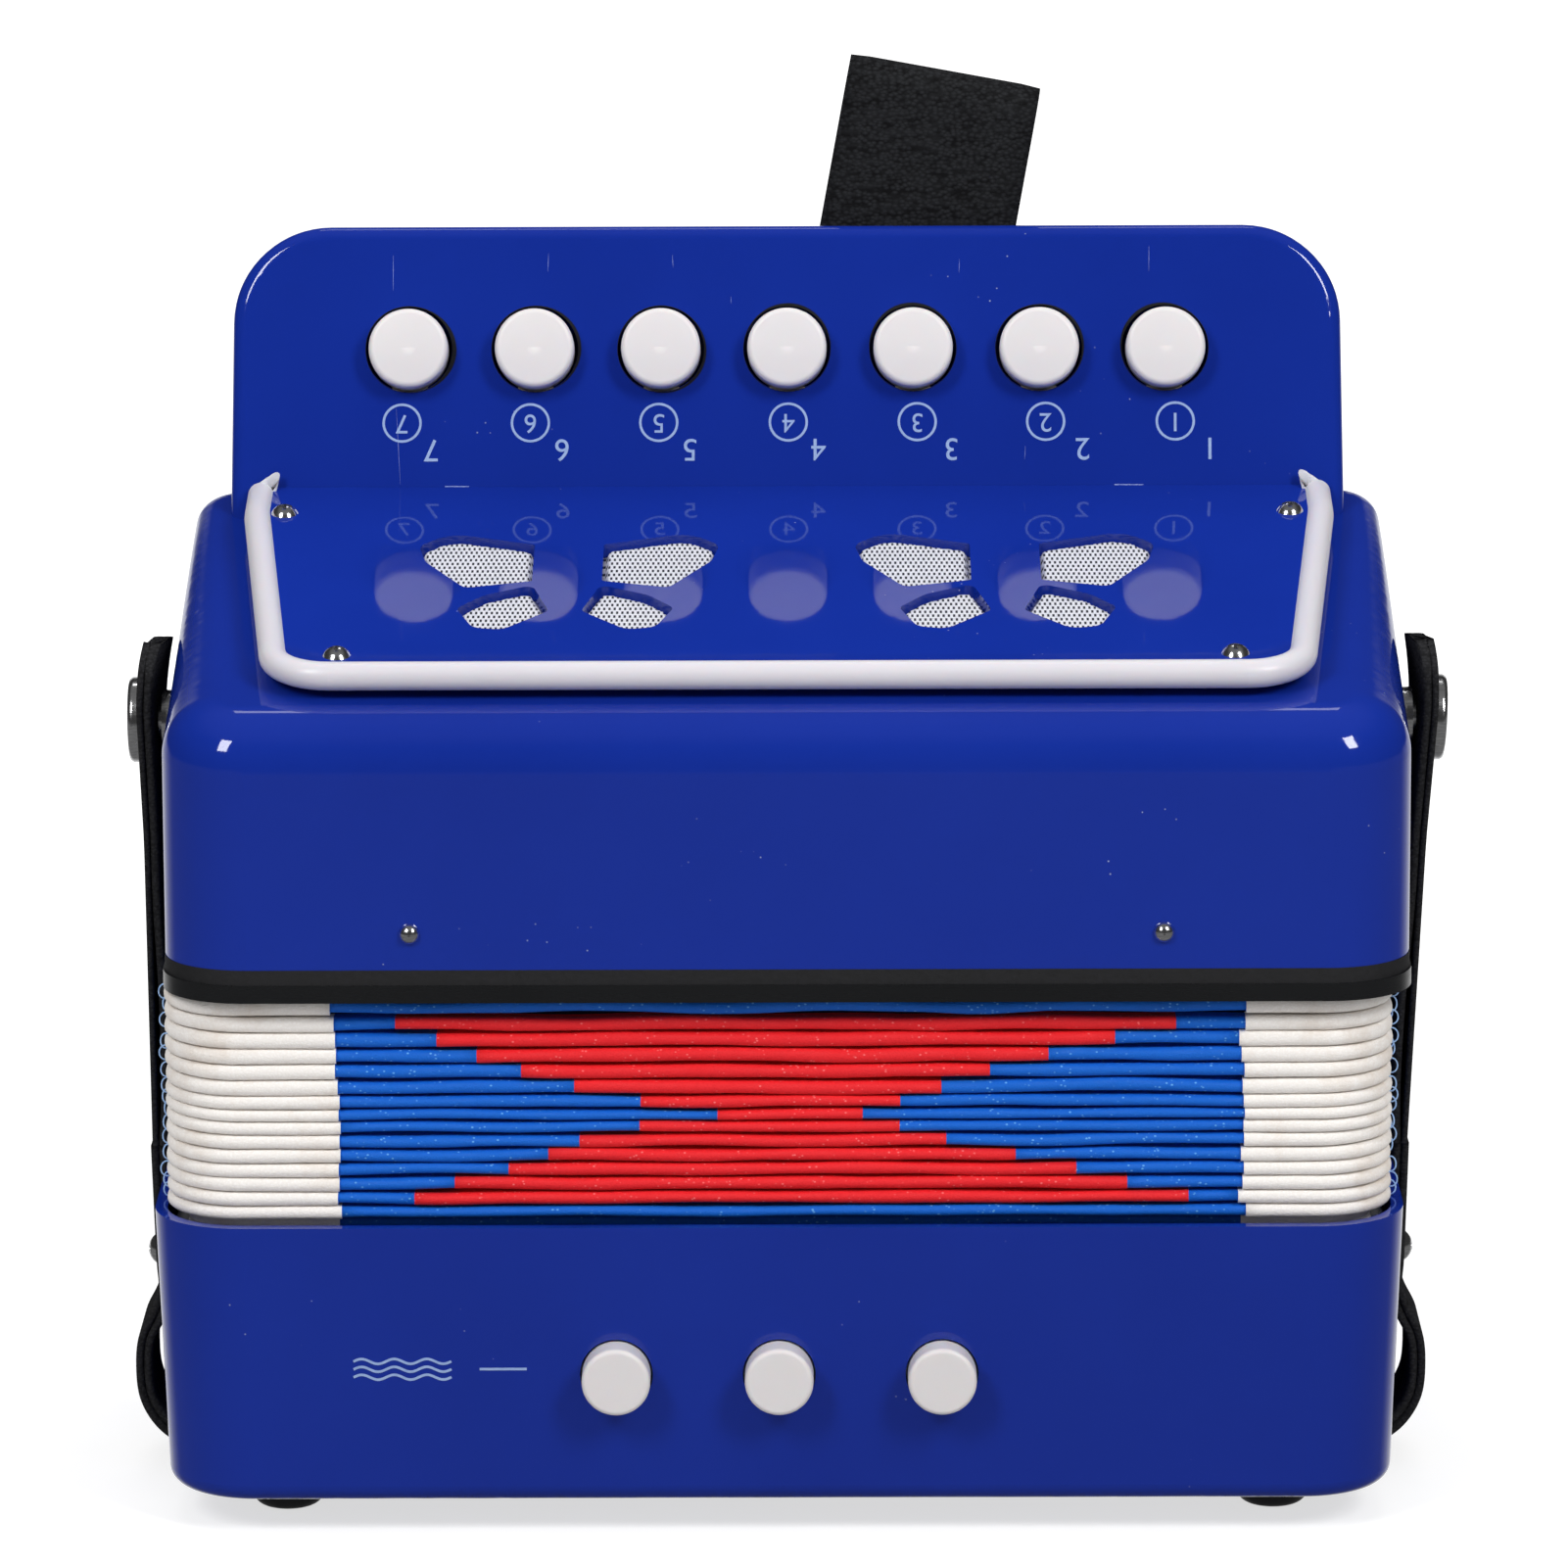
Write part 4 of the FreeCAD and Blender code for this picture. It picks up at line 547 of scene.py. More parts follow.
def build_bellows():
    """The bellows' outer skin with its folds, closed by an inner wall. The fold valleys, the closures and the
    inner wall take a near-black material, painted shade of the gaps between folds.
    """
    stations = bellows_stations()
    levels = sorted(fold_levels)
    rows = len(levels)
    bottom = bellows_low.z / MM
    top = bellows_high.z / MM
    edges = [bottom] + [(levels[i] + levels[i + 1]) / 2 for i in range(rows - 1)] + [top]
    columns = []
    for place, way, zone in stations:
        column = []
        for i in range(rows):
            source_row = fold_levels.index(levels[i])
            tape = tape_at(source_row, place, zone)
            pitch = edges[i + 1] - edges[i]
            seed = Vector((place[0] * 0.045, place[1] * 0.045, source_row * 5.3))
            calm = white_calm if tape == "white" else 1.0
            drift = noise.noise(seed) * drift_share * calm
            swell = 1 + noise.noise(seed * 2.3 + Vector((9, 4, 2))) * swell_share * calm
            push = noise.noise(seed * 1.6 + Vector((3, 8, 5))) * push_depth
            height = min(pitch, tallest_fold) * tape_fullness[tape] * swell
            middle = (edges[i] + edges[i + 1]) / 2 + drift * pitch / 2.4
            middle = min(max(middle, edges[i] + height * hold_share), edges[i + 1] - height * hold_share)
            back = tape_proud[tape] + max(push, 0) + skin_depth - side_bulge * abs(way[0])
            if source_row > last_seen_row:
                back += hidden_depth
            for depth, share in reversed(tape_nose[1:]):
                column.append((back + depth, middle - share * height))
            column.append((back, middle))
            for depth, share in tape_nose[1:]:
                column.append((back + depth, middle + share * height))
        column = [(fold_reach + 1.0, bottom)] + column + [(fold_reach + 1.0, top)]
        columns.append(column + [(wall_depth, top), (wall_depth, bottom)])
    per = len(columns[0])
    vertices = []
    for (place, way, zone), column in zip(stations, columns):
        for depth, level in column:
            x = place[0] - way[0] * depth
            y = place[1] - way[1] * depth
            vertices.append(Vector((bellows_mid + x * MM, front + y * MM, level * MM)))
    faces = grid_faces(len(stations), per, True, True)
    piece = add_mesh("bellows_folds", vertices, faces)
    for material in (tape_blue, tape_red, tape_white, fold_gap_shade):
        piece.data.materials.append(material)
    index = {"blue": 0, "red": 1, "white": 2}
    fold_gap_shade_index = 3
    nose = 2 * len(tape_nose) - 1
    for number, polygon in enumerate(piece.data.polygons):
        station = number // per
        step = number % per - 1
        row_low, inside = divmod(step, nose)
        place, way, zone = stations[station]
        after = stations[(station + 1) % len(stations)]
        middle = ((place[0] + after[0][0]) / 2, (place[1] + after[0][1]) / 2)
        # Fold valleys, closures and the inner wall take the near-black painted shade.
        if step < 0 or row_low >= rows or inside == nose - 1:
            polygon.material_index = fold_gap_shade_index
            continue
        source_row = fold_levels.index(levels[row_low])
        tape = tape_at(source_row, middle, zone if zone == after[2] else "corner")
        polygon.material_index = index[tape]
    return piece


bellows_piece = build_bellows()
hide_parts("bellows")
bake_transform(bellows_piece)


# Straps

edge_share = 0.3


def band(name, route, half_width, thickness, turns=None):
    """Flat strap along a route in X and Z, with bevelled edges, turned about its line by an angle a point."""
    bevel = thickness * edge_share
    section = [(-half_width + bevel, -0.5), (-half_width, -0.5 + edge_share), (-half_width, 0.5 - edge_share),
               (-half_width + bevel, 0.5)]
    steps = 6
    for i in range(1, steps):
        section.append((-half_width + bevel + (2 * half_width - 2 * bevel) * i / steps, 0.5))
    section += [(half_width - bevel, 0.5), (half_width, 0.5 - edge_share), (half_width, -0.5 + edge_share),
                (half_width - bevel, -0.5)]
    for i in range(1, steps):
        section.append((half_width - bevel - (2 * half_width - 2 * bevel) * i / steps, -0.5))
    vertices = []
    for i, point in enumerate(route):
        ahead = way_along(route, i)
        side = Vector((0, 1, 0))
        if turns:
            side = Matrix.Rotation(turns[i], 3, ahead) @ side
        out = side.cross(ahead).normalized()
        for across, through in section:
            vertices.append(point + side * across + out * (through * thickness))
    return add_mesh(name, vertices, capped_faces(len(route), len(section)))


strap_low, strap_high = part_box("closing_strap_right")
strap_middle = (strap_low.y + strap_high.y) / 2
strap_half = (strap_high.y - strap_low.y) / 2

# A strap is strap_stock millimetres thick. From curl_level up a closing strap curls in, from turn_level
# up it turns a little to the front, and below slack_level its inner layer hangs in a little.
strap_stock = 2.2
strap_stand = 3.4 * MM
curl_level = 128 * MM
curl_in = 1.9 * MM
turn_level = 108 * MM
top_turn = math.radians(7)
slack_level = 92 * MM
slack_in = 0.8 * MM
layer_inset = 0.15 * MM
closing_layers = ((0.36, 1.42), (1.66, 1.02))
hand_layers = ((-0.7, 1.36), (0.7, 1.36))
cap_low, cap_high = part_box("snap_cap_right")
snap_level = (cap_low.z + cap_high.z) / 2
casing_half = (casing_high.x - casing_low.x) / 2
strap_hinge = {"left": 106.523 * MM + casing_mid, "right": 103.474 * MM - casing_mid}


def rounded_end(piece, top, radius):
    """Pull in a strap's last stretch so that its end is rounded."""
    for vertex in piece.data.vertices:
        above = vertex.co.z - (top - radius)
        if above > 0:
            share = min(above / radius, 1)
            reach = math.sqrt(max(1 - share ** 2, 0))
            width = strap_half - radius + radius * reach
            offset = vertex.co.y - strap_middle
            vertex.co.y = strap_middle + max(-width, min(width, offset))


def closing_strap(side, sign):
    """Upper strap in two layers, slanting out to its snap and curling in at its end."""
    low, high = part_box("closing_strap_" + side)
    bottom = low.z
    top = high.z
    foot_place = strap_hinge[side]
    head_place = casing_half + strap_stand
    lean = (head_place - foot_place + strap_stock * MM) / (snap_level - bottom)
    layers = []
    for number, (offset, thickness) in enumerate(closing_layers):
        points = []
        for share in (0, 0.12, 0.3, 0.5, 0.68, 0.78, 0.86, 0.93, 0.975):
            level = bottom + (top - bottom) * share
            curl = max(level - curl_level, 0) / (top - curl_level)
            x = (foot_place + (offset - strap_stock) * MM + lean * (level - bottom)
                 - curl_in * curl ** 2)
            if number == 0 and level < slack_level:
                x -= slack_in * math.sin(math.pi * (level - bottom) / (slack_level - bottom))
            points.append(Vector((casing_mid + sign * x, strap_middle, level)))
        route = smooth_line(points, 5)
        turns = [sign * top_turn * min(max((point.z - turn_level) / (top - turn_level), 0), 1)
                 for point in route]
        layer = band("closing_%s_%d" % (side, number), route, strap_half - layer_inset * (1 - number),
                     thickness * MM, turns)
        rounded_end(layer, route[-1].z, strap_half * 0.7)
        layers.append(layer)
    piece = joined("closing_strap_%s_leather" % side, layers, strap_leather)
    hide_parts("closing_strap_" + side)
    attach(piece, "strap_" + side)


for side, sign in (("left", -1), ("right", 1)):
    closing_strap(side, sign)

hand_low, hand_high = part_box("hand_strap")


def hand_strap():
    """Long lower strap, slack at both sides and flat under the box, on the frame's own route."""
    low = hand_low.z / MM + strap_stock / 2
    half_route = [(103.9, hand_high.z / MM), (103.62, 46.0), (103.31, 35.8), (103.12, 31.2), (104.6, 26.6),
                  (106.6, 22.4), (107.1, 17.6), (106.6, 12.4), (104.4, 8.2), (101.0, 5.4), (96.4, 3.9),
                  (89.0, low), (50.0, low), (0.0, low)]
    points = [Vector((x * MM, strap_middle, z * MM)) for x, z in half_route]
    points += [Vector((-p.x, p.y, p.z)) for p in points[-2::-1]]
    for point in points:
        point.x += bass_mid
    pieces = []
    for number, (offset, thickness) in enumerate(hand_layers):
        route = smooth_line(points, 6)
        moved = []
        for i, point in enumerate(route):
            out = Vector((0, 1, 0)).cross(way_along(route, i)).normalized()
            moved.append(point + out * (offset * MM))
        pieces.append(band("hand_%d" % number, moved, strap_half, thickness * MM))
    piece = joined("hand_strap_leather", pieces, strap_leather)
    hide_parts("hand_strap")
    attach(piece, "bass_end")


hand_strap()


def thumb_strap():
    """Tall loop of leather behind the board, leaning to the right."""
    tilt = math.radians(10.4)
    cover_lean = math.radians(5)
    wall = 1.6
    loop = [(wall * 1.5, 0.4), (wall * 1.5, 13.0), (8.0, 19.5), (13.4, 27.0), (14.2, 36.0), (13.6, 48.0),
            (12.2, 60.0), (10.9, 66.5), (8.3, 69.7), (5.9, 70.2), (3.2, 69.7), (1.2, 66.5), (0.8, 58.0),
            (0.8, 30.0), (0.8, 13.0), (0.8, 0.4)]
    line = smooth_line([Vector((0, y * MM, z * MM)) for y, z in loop], 5)
    half = 16.5 * MM
    steps = 10
    stock = wall * MM * 0.94
    vertices = []
    for i, point in enumerate(line):
        out = Vector((1, 0, 0)).cross(way_along(line, i)).normalized()
        for sign, order in ((1, range(steps + 1)), (-1, reversed(range(steps + 1)))):
            for j in order:
                x = -half + 2 * half * j / steps
                pinch = 0.7 if j in (0, steps) else 1.0
                vertices.append(point + Vector((x, 0, 0)) + out * (sign * stock / 2 * pinch))
    piece = add_mesh("thumb_strap_leather", vertices, capped_faces(len(line), 2 * (steps + 1)))
    turn = Matrix.Rotation(tilt, 4, "Y")
    lean = Matrix.Rotation(-cover_lean, 4, "X")
    shift = Matrix.Translation(Vector((14.6 * MM, 0, 3.6 * MM)))
    place = Matrix.Translation(Vector((casing_mid, front + 106.8 * MM, hinge_z - 4.99 * MM)))
    piece.data.transform(place @ lean @ shift @ turn)
    piece.data.materials.append(thumb_leather)
    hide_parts("thumb_strap")
    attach(piece, "treble_end")


thumb_strap()


# Printed signs

def board_matrix(x, up, turned):
    """Placing matrix on the leaning board's face. Turned signs face the player, who looks from above."""
    normal = Vector((0, -math.cos(board_lean), math.sin(board_lean)))
    rise = Vector((0, math.sin(board_lean), math.cos(board_lean)))
    sign = -1 if turned else 1
    origin = Vector((casing_mid + x, hinge_y, hinge_z)) + rise * up + normal * ink_height
    matrix = Matrix((Vector((sign, 0, 0)), rise * sign, normal)).transposed().to_4x4()
    matrix.translation = origin
    return matrix


def digit(name, text, size, matrix):
    """One printed digit as a mesh, centred on its place."""
    curve = bpy.data.curves.new(name, "FONT")
    curve.body = text
    curve.size = size
    curve.align_x = "CENTER"
    curve.align_y = "CENTER"
    curve.extrude = ink_height
    holder = placed(name + "_curve", curve)
    depsgraph = bpy.context.evaluated_depsgraph_get()
    mesh = bpy.data.meshes.new_from_object(holder.evaluated_get(depsgraph))
    bpy.data.objects.remove(holder)
    mesh.transform(matrix)
    return placed(name, mesh)


def ring(name, radius, stroke, matrix):
    """Printed ring."""
    steps = 40
    vertices, faces = [], []
    for i in range(steps):
        angle = 2 * math.pi * i / steps
        for reach, lift in ((radius - stroke / 2, -1), (radius - stroke / 2, 1), (radius + stroke / 2, 1),
                            (radius + stroke / 2, -1)):
            vertices.append(Vector((reach * math.cos(angle), reach * math.sin(angle), lift * ink_height)))
    faces = grid_faces(steps, 4, True, True)
    piece = add_mesh(name, vertices, faces, smooth=False)
    piece.data.transform(matrix)
    return piece


# A ringed digit and a plain one under each button, in millimetres from the casing's middle
ring_places = [-65.7, -43.8, -21.9, 0.2, 22.2, 44.1, 66.2]
plain_places = [-60.7, -38.4, -16.6, 5.3, 28.0, 50.4, 72.1]
ring_up, plain_up = 10.9 * MM, 6.4 * MM
ringed_size, plain_size = 4.6 * MM, 5.4 * MM
ring_radius = 3.15 * MM
stroke_width = 0.42 * MM
marks = []
for number, (ring_x, plain_x) in enumerate(zip(ring_places, plain_places)):
    text = str(7 - number)
    ringed, plain = board_matrix(ring_x * MM, ring_up, True), board_matrix(plain_x * MM, plain_up, True)
    marks.append(ring("ring_%d" % number, ring_radius, stroke_width, ringed))
    marks.append(digit("ringed_%d" % number, text, ringed_size, ringed))
    marks.append(digit("plain_%d" % number, text, plain_size, plain))
board_marks = joined("board_numbers", marks, print_ink)
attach(board_marks, "treble_end")


def bass_face(level):
    """Depth of the drafted front face at a level."""
    return bass_low.y + (rim_level - level) * math.tan(bass_draft)


def bass_stroke(name, points, width):
    """Printed stroke on the bass box's front, along points given as X and level."""
    vertices = []
    for i, (x, z) in enumerate(points):
        before = points[max(i - 1, 0)]
        after = points[min(i + 1, len(points) - 1)]
        way = Vector((after[0] - before[0], after[1] - before[1])).normalized()
        side = Vector((-way.y, way.x)) * width / 2
        for sign in (-1, 1):
            px, pz = x + side.x * sign, z + side.y * sign
            for lift in (-1, 1):
                vertices.append(Vector((px, bass_face(pz) - ink_height * (1 + lift), pz)))
    faces = []
    for i in range(len(points) - 1):
        a = i * 4
        b = a + 4
        faces += [(a + 1, a + 3, b + 3, b + 1), (a, a + 1, b + 1, b), (a + 3, a + 2, b + 2, b + 3)]
    return add_mesh(name, vertices, faces, smooth=False)


# Three wavy lines and a dash beside the bass buttons
sign_level = 28.8 * MM
wave_steps = 48
waves = []
for row in (-1, 0, 1):
    points = []
    for i in range(wave_steps + 1):
        share = i / wave_steps
        points.append((casing_mid + (-71.0 + 16.0 * share) * MM,
                       sign_level + (row * 1.35 + 0.42 * math.sin(share * 6 * math.pi)) * MM))
    waves.append(bass_stroke("air_wave_%d" % (row + 2), points, stroke_width))
dash = [(casing_mid + x * MM, sign_level) for x in (-50.4, -42.7)]
waves.append(bass_stroke("air_dash", dash, stroke_width))
air_sign = joined("air_button_sign", waves, print_ink)
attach(air_sign, "bass_end")


# Details of the treble end: piping tips, grille cloth, painted shade in the button wells, and scuffs

def tube_tips():
    """The piping's two rear ends, bent inward and cut on a slant, from rings given in millimetres."""
    tube_low, tube_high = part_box("trim_tube")
    tube_radius = 2.3
    steps = 20
    rings = [(0.0, -1.6, -0.9, 1.01, 0.0), (0.1, -1.1, 0.1, 1.02, 0.05), (0.4, -0.8, 0.9, 1.0, 0.3),
             (0.85, -0.7, 1.5, 0.95, 0.6), (1.2, -0.6, 1.8, 0.86, 0.9)]
    pieces = []
    for side in (-1, 1):
        end_x = (tube_low.x if side < 0 else tube_high.x) - side * (tube_radius + 0.05) * MM
        vertices = []
        for inward, back, up, share, slant in rings:
            for j in range(steps):
                angle = 2 * math.pi * j / steps
                across = tube_radius * share * math.cos(angle)
                through = tube_radius * share * math.sin(angle)
                lift = up - tube_radius + 0.75 * through + slant * across
                vertices.append(Vector((end_x - side * (inward + across) * MM,
                                        hinge_y + (back - 1.0) * MM + through * 0.25 * MM,
                                        tube_high.z + lift * MM)))
        pieces.append(add_mesh("tube_tip", vertices, capped_faces(len(rings), steps)))
    piece = joined("piping_tips", pieces, trim_white)
    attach(piece, "treble_end")


def grille_cloth():
    """Grille cloth under the panel, pushed up a little into the openings that rays find in the panel."""
    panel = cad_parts["grille_panel"]
    depsgraph = bpy.context.evaluated_depsgraph_get()
    tree = BVHTree.FromObject(panel, depsgraph)
    slope_way = Vector((0, -math.cos(top_slope), -math.sin(top_slope)))
    normal = Vector((0, -math.sin(top_slope), math.cos(top_slope)))
    high = 20 * MM
    probe_way = slope_way * 4 * MM
    probe = Vector((casing_mid, hinge_y, hinge_z)) + probe_way
    top = tree.ray_cast(probe + normal * high, -normal)[0]
    origin = top - probe_way
    step = 0.55
    half = 66.0
    first, last = 14.0, 71.0
    rest, bulge = -2.46, 1.35
    columns = int(2 * half / step) + 1
    rows = int((last - first) / step) + 1

    def place(i, j):
        return origin + Vector((-half + i * step, 0, 0)) * MM + slope_way * ((first + j * step) * MM)

    open_share = []
    for j in range(rows):
        line = []
        for i in range(columns):
            hit = tree.ray_cast(place(i, j) + normal * high, -normal)
            line.append(0.0 if hit[0] is not None and hit[3] < high + 0.5 * MM else 1.0)
        open_share.append(line)
    for repeat in range(2):
        open_share = [[sum(open_share[min(max(j + b, 0), rows - 1)][min(max(i + a, 0), columns - 1)]
                           for a in (-1, 0, 1) for b in (-1, 0, 1)) / 9
                       for i in range(columns)] for j in range(rows)]
    vertices = []
    for j in range(rows):
        for i in range(columns):
            share = min(max((open_share[j][i] - 0.62) / 0.3, 0), 1)
            lift = rest + bulge * share * share * (3 - 2 * share)
            vertices.append(place(i, j) + normal * (lift * MM))
    sheet = grid_faces(rows, columns, False, False)
    piece = add_mesh("grille_cloth_sheet", vertices, [tuple(reversed(face)) for face in sheet])
    piece.data.materials.append(grille_weave)
    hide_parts("mesh_cloth")
    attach(piece, "treble_end")


hole_up = 23.5 * MM
hole_radius = 7.38 * MM
well_depth = 1.5 * MM
well_rim = 0.08 * MM


def button_well_shade():
    """Painted shade: near-black linings of the board's holes, each widened on one side, where its button stands
    off its middle, standing for the shaded gap round the button.
    """
    offsets = [(0.66, -0.05), (0.46, 0.08), (0.36, -0.22), (0.1, 0.34), (-0.1, 0.38), (0.3, 0.16),
               (-0.28, 0.34)]
    steps = 48
    pieces = []
    boxes = [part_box("treble_button_%d" % number) for number in range(1, 8)]
    centres = sorted((low.x + high.x) / 2 for low, high in boxes)
    for centre, (shift_x, shift_up) in zip(centres, offsets):
        off = Vector((shift_x, shift_up, 0)) * MM
        matrix = board_matrix(centre - casing_mid, hole_up, False)
        vertices = []
        for j in range(steps):
            angle = 2 * math.pi * j / steps
            way = Vector((math.cos(angle), math.sin(angle), 0))
            outer = way * hole_radius + off * max(way.dot(off.normalized()), 0) + way * well_rim
            vertices += [way * hole_radius - Vector((0, 0, well_depth)), way * hole_radius, outer]
        faces = grid_faces(steps, 3, False, True)
        ring_piece = add_mesh("well", vertices, faces, smooth=False)
        ring_piece.data.transform(matrix)
        pieces.append(ring_piece)
    piece = joined("button_well_shade", pieces, well_shade_dark)
    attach(piece, "treble_end")


def board_scuffs():
    """Hairline scratches on the board and two worn nicks at the panel's back edge."""
    strokes = [(-67.2, 33.6, 6.0, 0.06), (-40.8, 36.8, 3.2, 0.06), (-19.4, 37.4, 2.2, 0.06),
               (29.4, 36.4, 2.4, 0.05), (61.8, 36.6, 4.4, 0.06), (-66.0, 0.4, 13.0, 0.05),
               (40.5, 4.4, 2.4, 0.04), (-9.5, 31.2, 1.2, 0.05)]
    pieces = []
    for number, (x, up, length, width) in enumerate(strokes):
        lean = 0.06 * math.sin(number * 2.3)
        vertices = []
        for side in (-1, 1):
            for t in (0, 0.5, 1):
                reach = width / 2 * (1 - abs(2 * t - 1)) + 0.01
                vertices.append(Vector((lean * t * length + side * reach, t * length, 0)) * MM)
        mark = add_mesh("scuff", vertices, [(0, 3, 4, 1), (1, 4, 5, 2)], smooth=False)
        mark.data.transform(board_matrix(x * MM, up * MM, False))
        pieces.append(mark)
    for x, length in ((-58.4, 4.1), (55.8, 4.9)):
        outline = ((0, 0.02), (length, 0.10), (length, 0.24), (0, 0.30))
        vertices = [Vector((across, up, 0)) * MM for across, up in outline]
        mark = add_mesh("nick", vertices, [(0, 1, 2, 3)], smooth=False)
        mark.data.transform(board_matrix(x * MM, -0.15 * MM, False))
        pieces.append(mark)
    piece = joined("board_scuffs", pieces, scuff_pale)
    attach(piece, "treble_end")


tube_tips()
grille_cloth()
button_well_shade()
board_scuffs()


# Loose thread loops at the folds' side edges

def thread_loops():
    """Small scallops of thread along the side edges of the folds, two to a fold and a side."""
    pieces = []
    loop_steps, wire_steps = 13, 5
    wire = 0.13 * MM
    stand = bellows_high.x - bellows_mid + (side_bulge - 0.45) * MM
    for sign in (-1, 1):
        for row, level in enumerate(fold_levels[:last_seen_row + 1]):
            for number in range(2):
                seed = Vector((sign * 3.1, row * 1.7, number * 2.9))
                reach = (1.2 + 1.0 * noise.noise(seed)) * MM
                y = front + (17 + 17 * number + 6 * noise.noise(seed * 2)) * MM
                points = []
                for i in range(loop_steps):
                    angle = math.radians(-100 + 200 * i / (loop_steps - 1))
                    points.append(Vector((bellows_mid + sign * (stand + reach * math.cos(angle)),
                                          y + 0.4 * MM * math.sin(angle * 2),
                                          level * MM + 1.25 * MM * math.sin(angle))))
                vertices = []
                for i, point in enumerate(points):
                    ahead = way_along(points, i)
                    side = ahead.cross(Vector((0, 1, 0))).normalized()
                    other = ahead.cross(side).normalized()
                    for j in range(wire_steps):
                        turn = 2 * math.pi * j / wire_steps
                        vertices.append(point + side * (wire * math.cos(turn))
                                        + other * (wire * math.sin(turn)))
                pieces.append(add_mesh("loop", vertices, grid_faces(loop_steps, wire_steps, True, False)))
    piece = joined("fold_edge_threads", pieces, loop_thread)
    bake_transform(piece)


thread_loops()


# Camera, from the fitted view of the photograph

photo_side = 1601
focal_px = 8880
sensor_mm = 36.0
view_distance = 1.4
pitch = math.radians(12.14)
yaw = math.radians(0.257)
roll = math.radians(0.209)
aim = Vector((casing_mid - 0.33 * MM, front, 126.38 * MM))


def add_camera():
    """Camera at the photograph's viewing angle."""
    forward = Vector((-math.sin(yaw) * math.cos(pitch), math.cos(yaw) * math.cos(pitch), -math.sin(pitch)))
    right = Vector((math.cos(yaw), math.sin(yaw), 0))
    up = right.cross(forward)
    rolled_right = right * math.cos(roll) - up * math.sin(roll)
    rolled_up = right * math.sin(roll) + up * math.cos(roll)
    data = bpy.data.cameras.new("photo_camera")
    data.sensor_width = sensor_mm
    data.lens = focal_px * sensor_mm / photo_side
    data.clip_start = 0.05
    data.clip_end = 60
    camera = placed("photo_camera", data)
    matrix = Matrix((rolled_right, rolled_up, -forward)).transposed().to_4x4()
    matrix.translation = aim - forward * view_distance
    camera.matrix_world = matrix
    bpy.context.scene.camera = camera


add_camera()


# Floor, lights and the pale surroundings

paper_pale = (0.52, 0.52, 0.52, 1)
paper_dull = (0.50, 0.50, 0.50, 1)
glow_start, glow_full, glow_low = 0.16, 0.7, 0.66
lamp_target = Vector((0, 0, 0.11))


def add_floor():
    """Plain pale floor, white to the camera away from the object's shadow."""
    reach = 9.0
    corners = [Vector((x * reach, y * reach, 0)) for x, y in ((-1, -1), (1, -1), (1, 1), (-1, 1))]
    floor = add_mesh("studio_floor", corners, [(0, 1, 2, 3)], smooth=False)
    recipe = Recipe("floor_paper")
    fibre = recipe.noise(90, detail=4)
    recipe.colour(recipe.mix(recipe.ramp(fibre, 0.3, 0.7, 0, 1), paper_pale, paper_dull))
    recipe.set(Roughness=0.95, Specular_IOR_Level=0.0, Emission_Color=(1, 1, 1, 1))
    away = recipe.node("VectorMath")
    away.operation = "LENGTH"
    recipe.link(recipe.place, away.inputs[0])
    paper = recipe.ramp(away.outputs["Value"], glow_start, glow_full, glow_low, 1.0)
    rays = recipe.node("LightPath").outputs
    seen = recipe.math("MAXIMUM", rays["Is Camera Ray"], rays["Is Transmission Ray"])
    recipe.link(recipe.math("MULTIPLY", paper, seen), recipe.shader.inputs["Emission Strength"])
    floor.data.materials.append(recipe.material)
    floor.visible_glossy = False


def add_light(name, azimuth, elevation, distance, size, power, mirrored=True):
    """Soft rectangular light aimed at the object. Azimuth 0 is the camera's side, positive to the right."""
    turn = math.radians(azimuth)
    rise = math.radians(elevation)
    way = Vector((math.sin(turn) * math.cos(rise), -math.cos(turn) * math.cos(rise), math.sin(rise)))
    data = bpy.data.lights.new(name, "AREA")
    data.shape = "RECTANGLE"
    data.size, data.size_y = size
    data.energy = power
    lamp = placed(name, data)
    lamp.visible_glossy = mirrored
    lamp.location = lamp_target + way * distance
    lamp.rotation_euler = (-way).to_track_quat("-Z", "Y").to_euler()


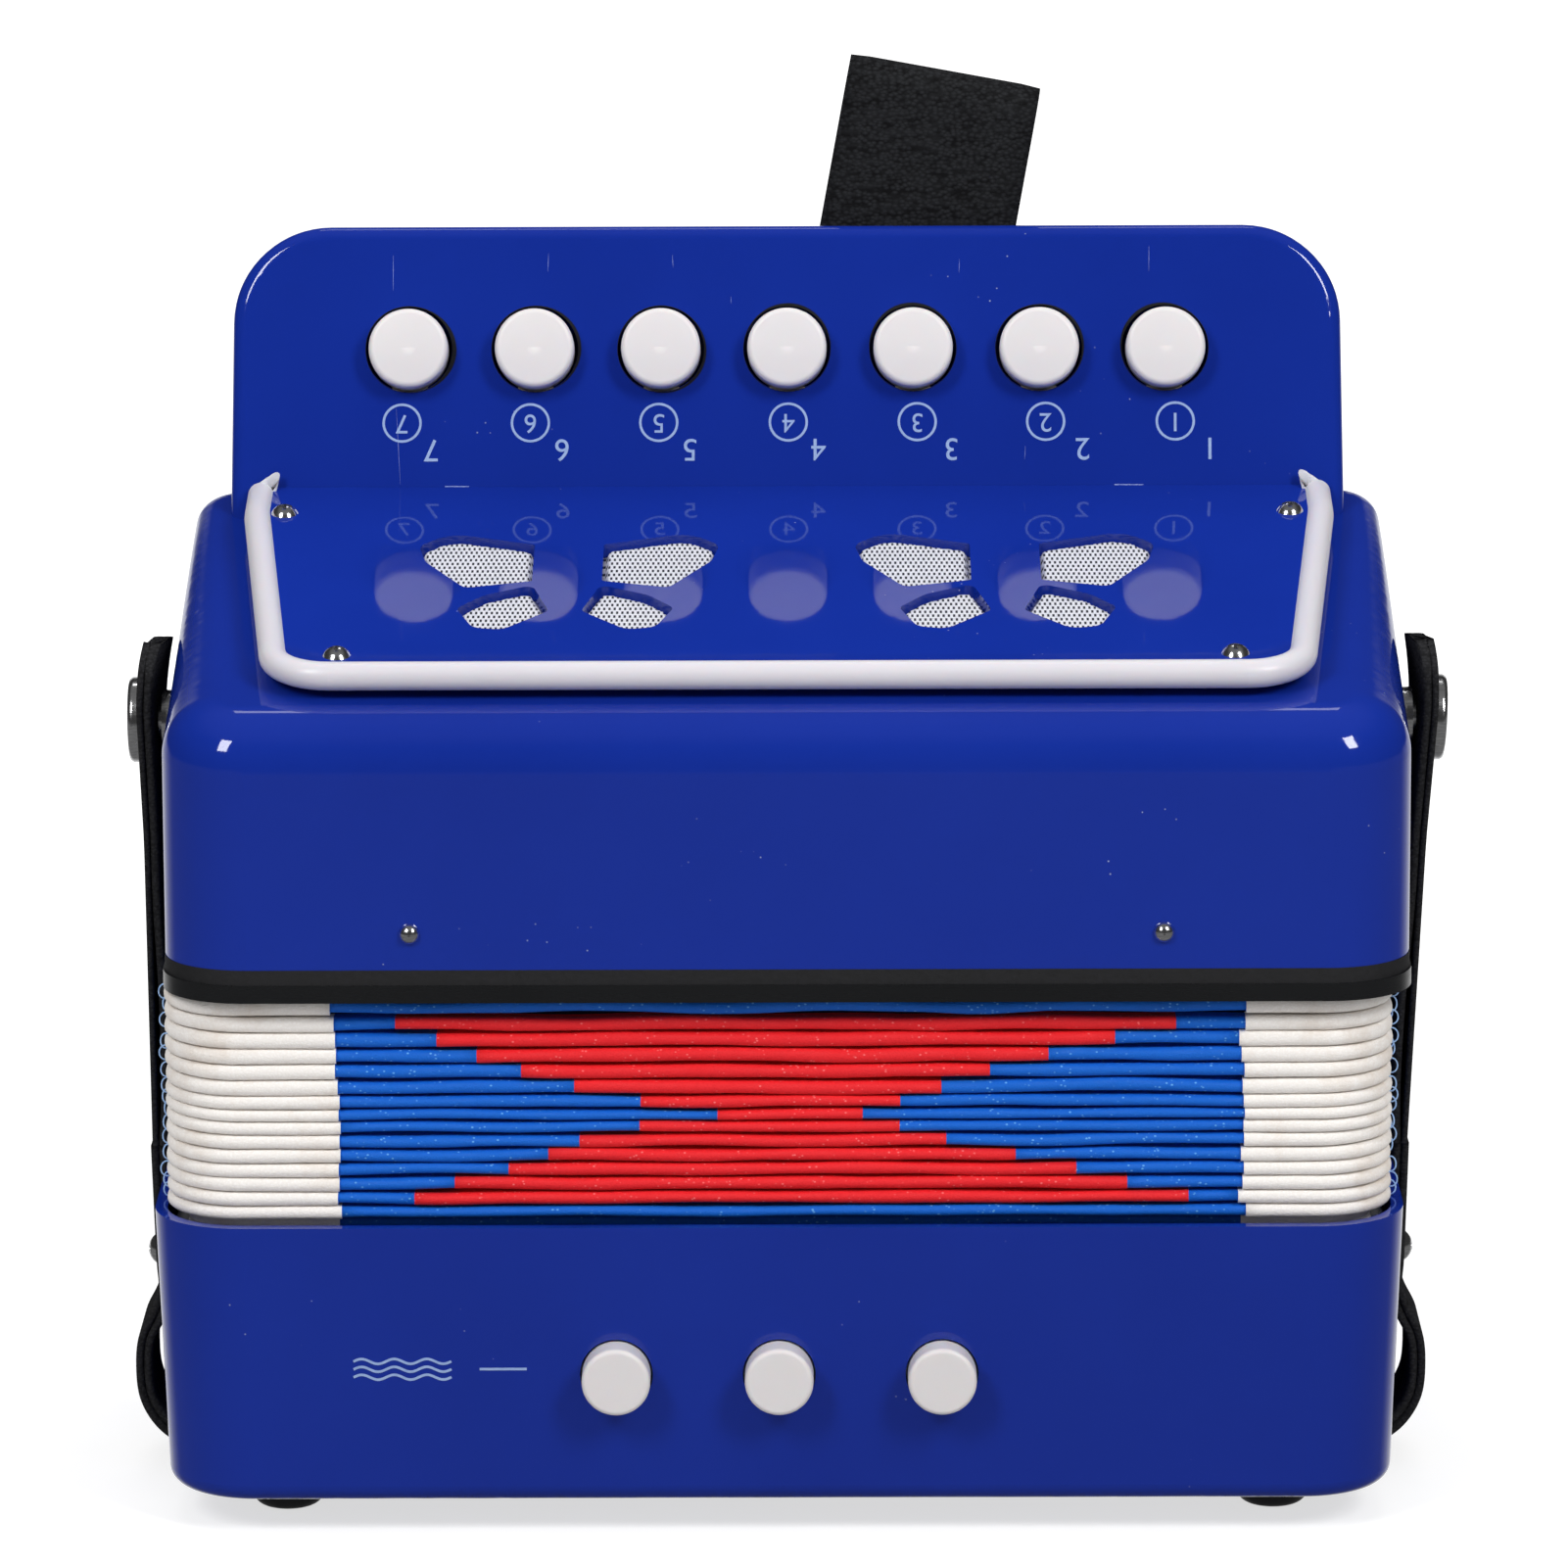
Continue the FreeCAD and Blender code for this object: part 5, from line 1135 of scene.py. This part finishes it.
def add_world():
    """White to the camera, grey for diffuse light, and a dim room with a pale backdrop in reflections."""
    world = bpy.data.worlds.new("studio")
    world.use_nodes = True
    sky = Nodes(world.node_tree, "SMOOTHSTEP")
    output = sky.node("OutputWorld")
    parts = sky.node("SeparateXYZ")
    rays = sky.node("LightPath").outputs
    sky.link(sky.node("TexCoord").outputs["Generated"], parts.inputs["Vector"])
    x, y, z = parts.outputs

    # The backdrop stands behind the object, and its paper runs forward below the horizon
    side = sky.math("ABSOLUTE", x)
    behind = sky.math("MULTIPLY", sky.ramp(y, 0.2, 0.5, 0, 1), sky.ramp(side, 0.26, 0.42, 1, 0))
    upright = sky.math("MULTIPLY", behind, sky.ramp(z, 0.20, 0.40, 1, 0))
    paper = sky.ramp(y, 0.45, 0.98, 0, 1)
    above = sky.ramp(z, -0.06, 0.02, 0, 1)
    below = sky.math("SUBTRACT", paper, sky.math("MULTIPLY", paper, above))
    sheet = sky.math("ADD", sky.math("MULTIPLY", upright, above), below)
    backdrop = sky.math("MULTIPLY", sheet, backdrop_strength)
    room = sky.math("ADD", sky.ramp(z, -0.10, 0.0, room_low, room_high),
                    sky.ramp(z, 0.6, 0.95, 0, ceiling_strength))
    mirrored = sky.math("ADD", backdrop, room)

    # Each kind of ray takes its own level
    ambient = sky.ramp(z, -0.2, 0.8, ambient_low, ambient_high)
    glossy = sky.math("MULTIPLY", mirrored, rays["Is Glossy Ray"])
    seen = sky.math("MAXIMUM", rays["Is Camera Ray"], rays["Is Transmission Ray"])
    known = sky.math("MAXIMUM", seen, rays["Is Glossy Ray"])
    plain = sky.math("MULTIPLY", ambient, sky.math("SUBTRACT", known, 1.0))
    strength = sky.math("SUBTRACT", sky.math("ADD", glossy, seen), plain)
    back = sky.node("Background", Color=(1, 1, 1, 1))
    sky.link(strength, back.inputs["Strength"])
    sky.link(back.outputs["Background"], output.inputs["Surface"])
    bpy.context.scene.world = world


backdrop_strength = 0.80
room_low = 0.15
room_high = 0.03
ceiling_strength = 0.10
ambient_low = 0.31
ambient_high = 0.41
add_floor()
add_world()
add_light("key_left", -37, 38, 1.3, (0.26, 0.46), 6.4)
add_light("key_right", 41, 38, 1.3, (0.26, 0.46), 7.3)
add_light("overhead", 180, 76, 1.2, (0.9, 0.9), 4.1, mirrored=False)
add_light("back_strip", 180, 61, 1.2, (0.5, 0.14), 0.6)
bpy.context.scene.view_settings.view_transform = "Standard"
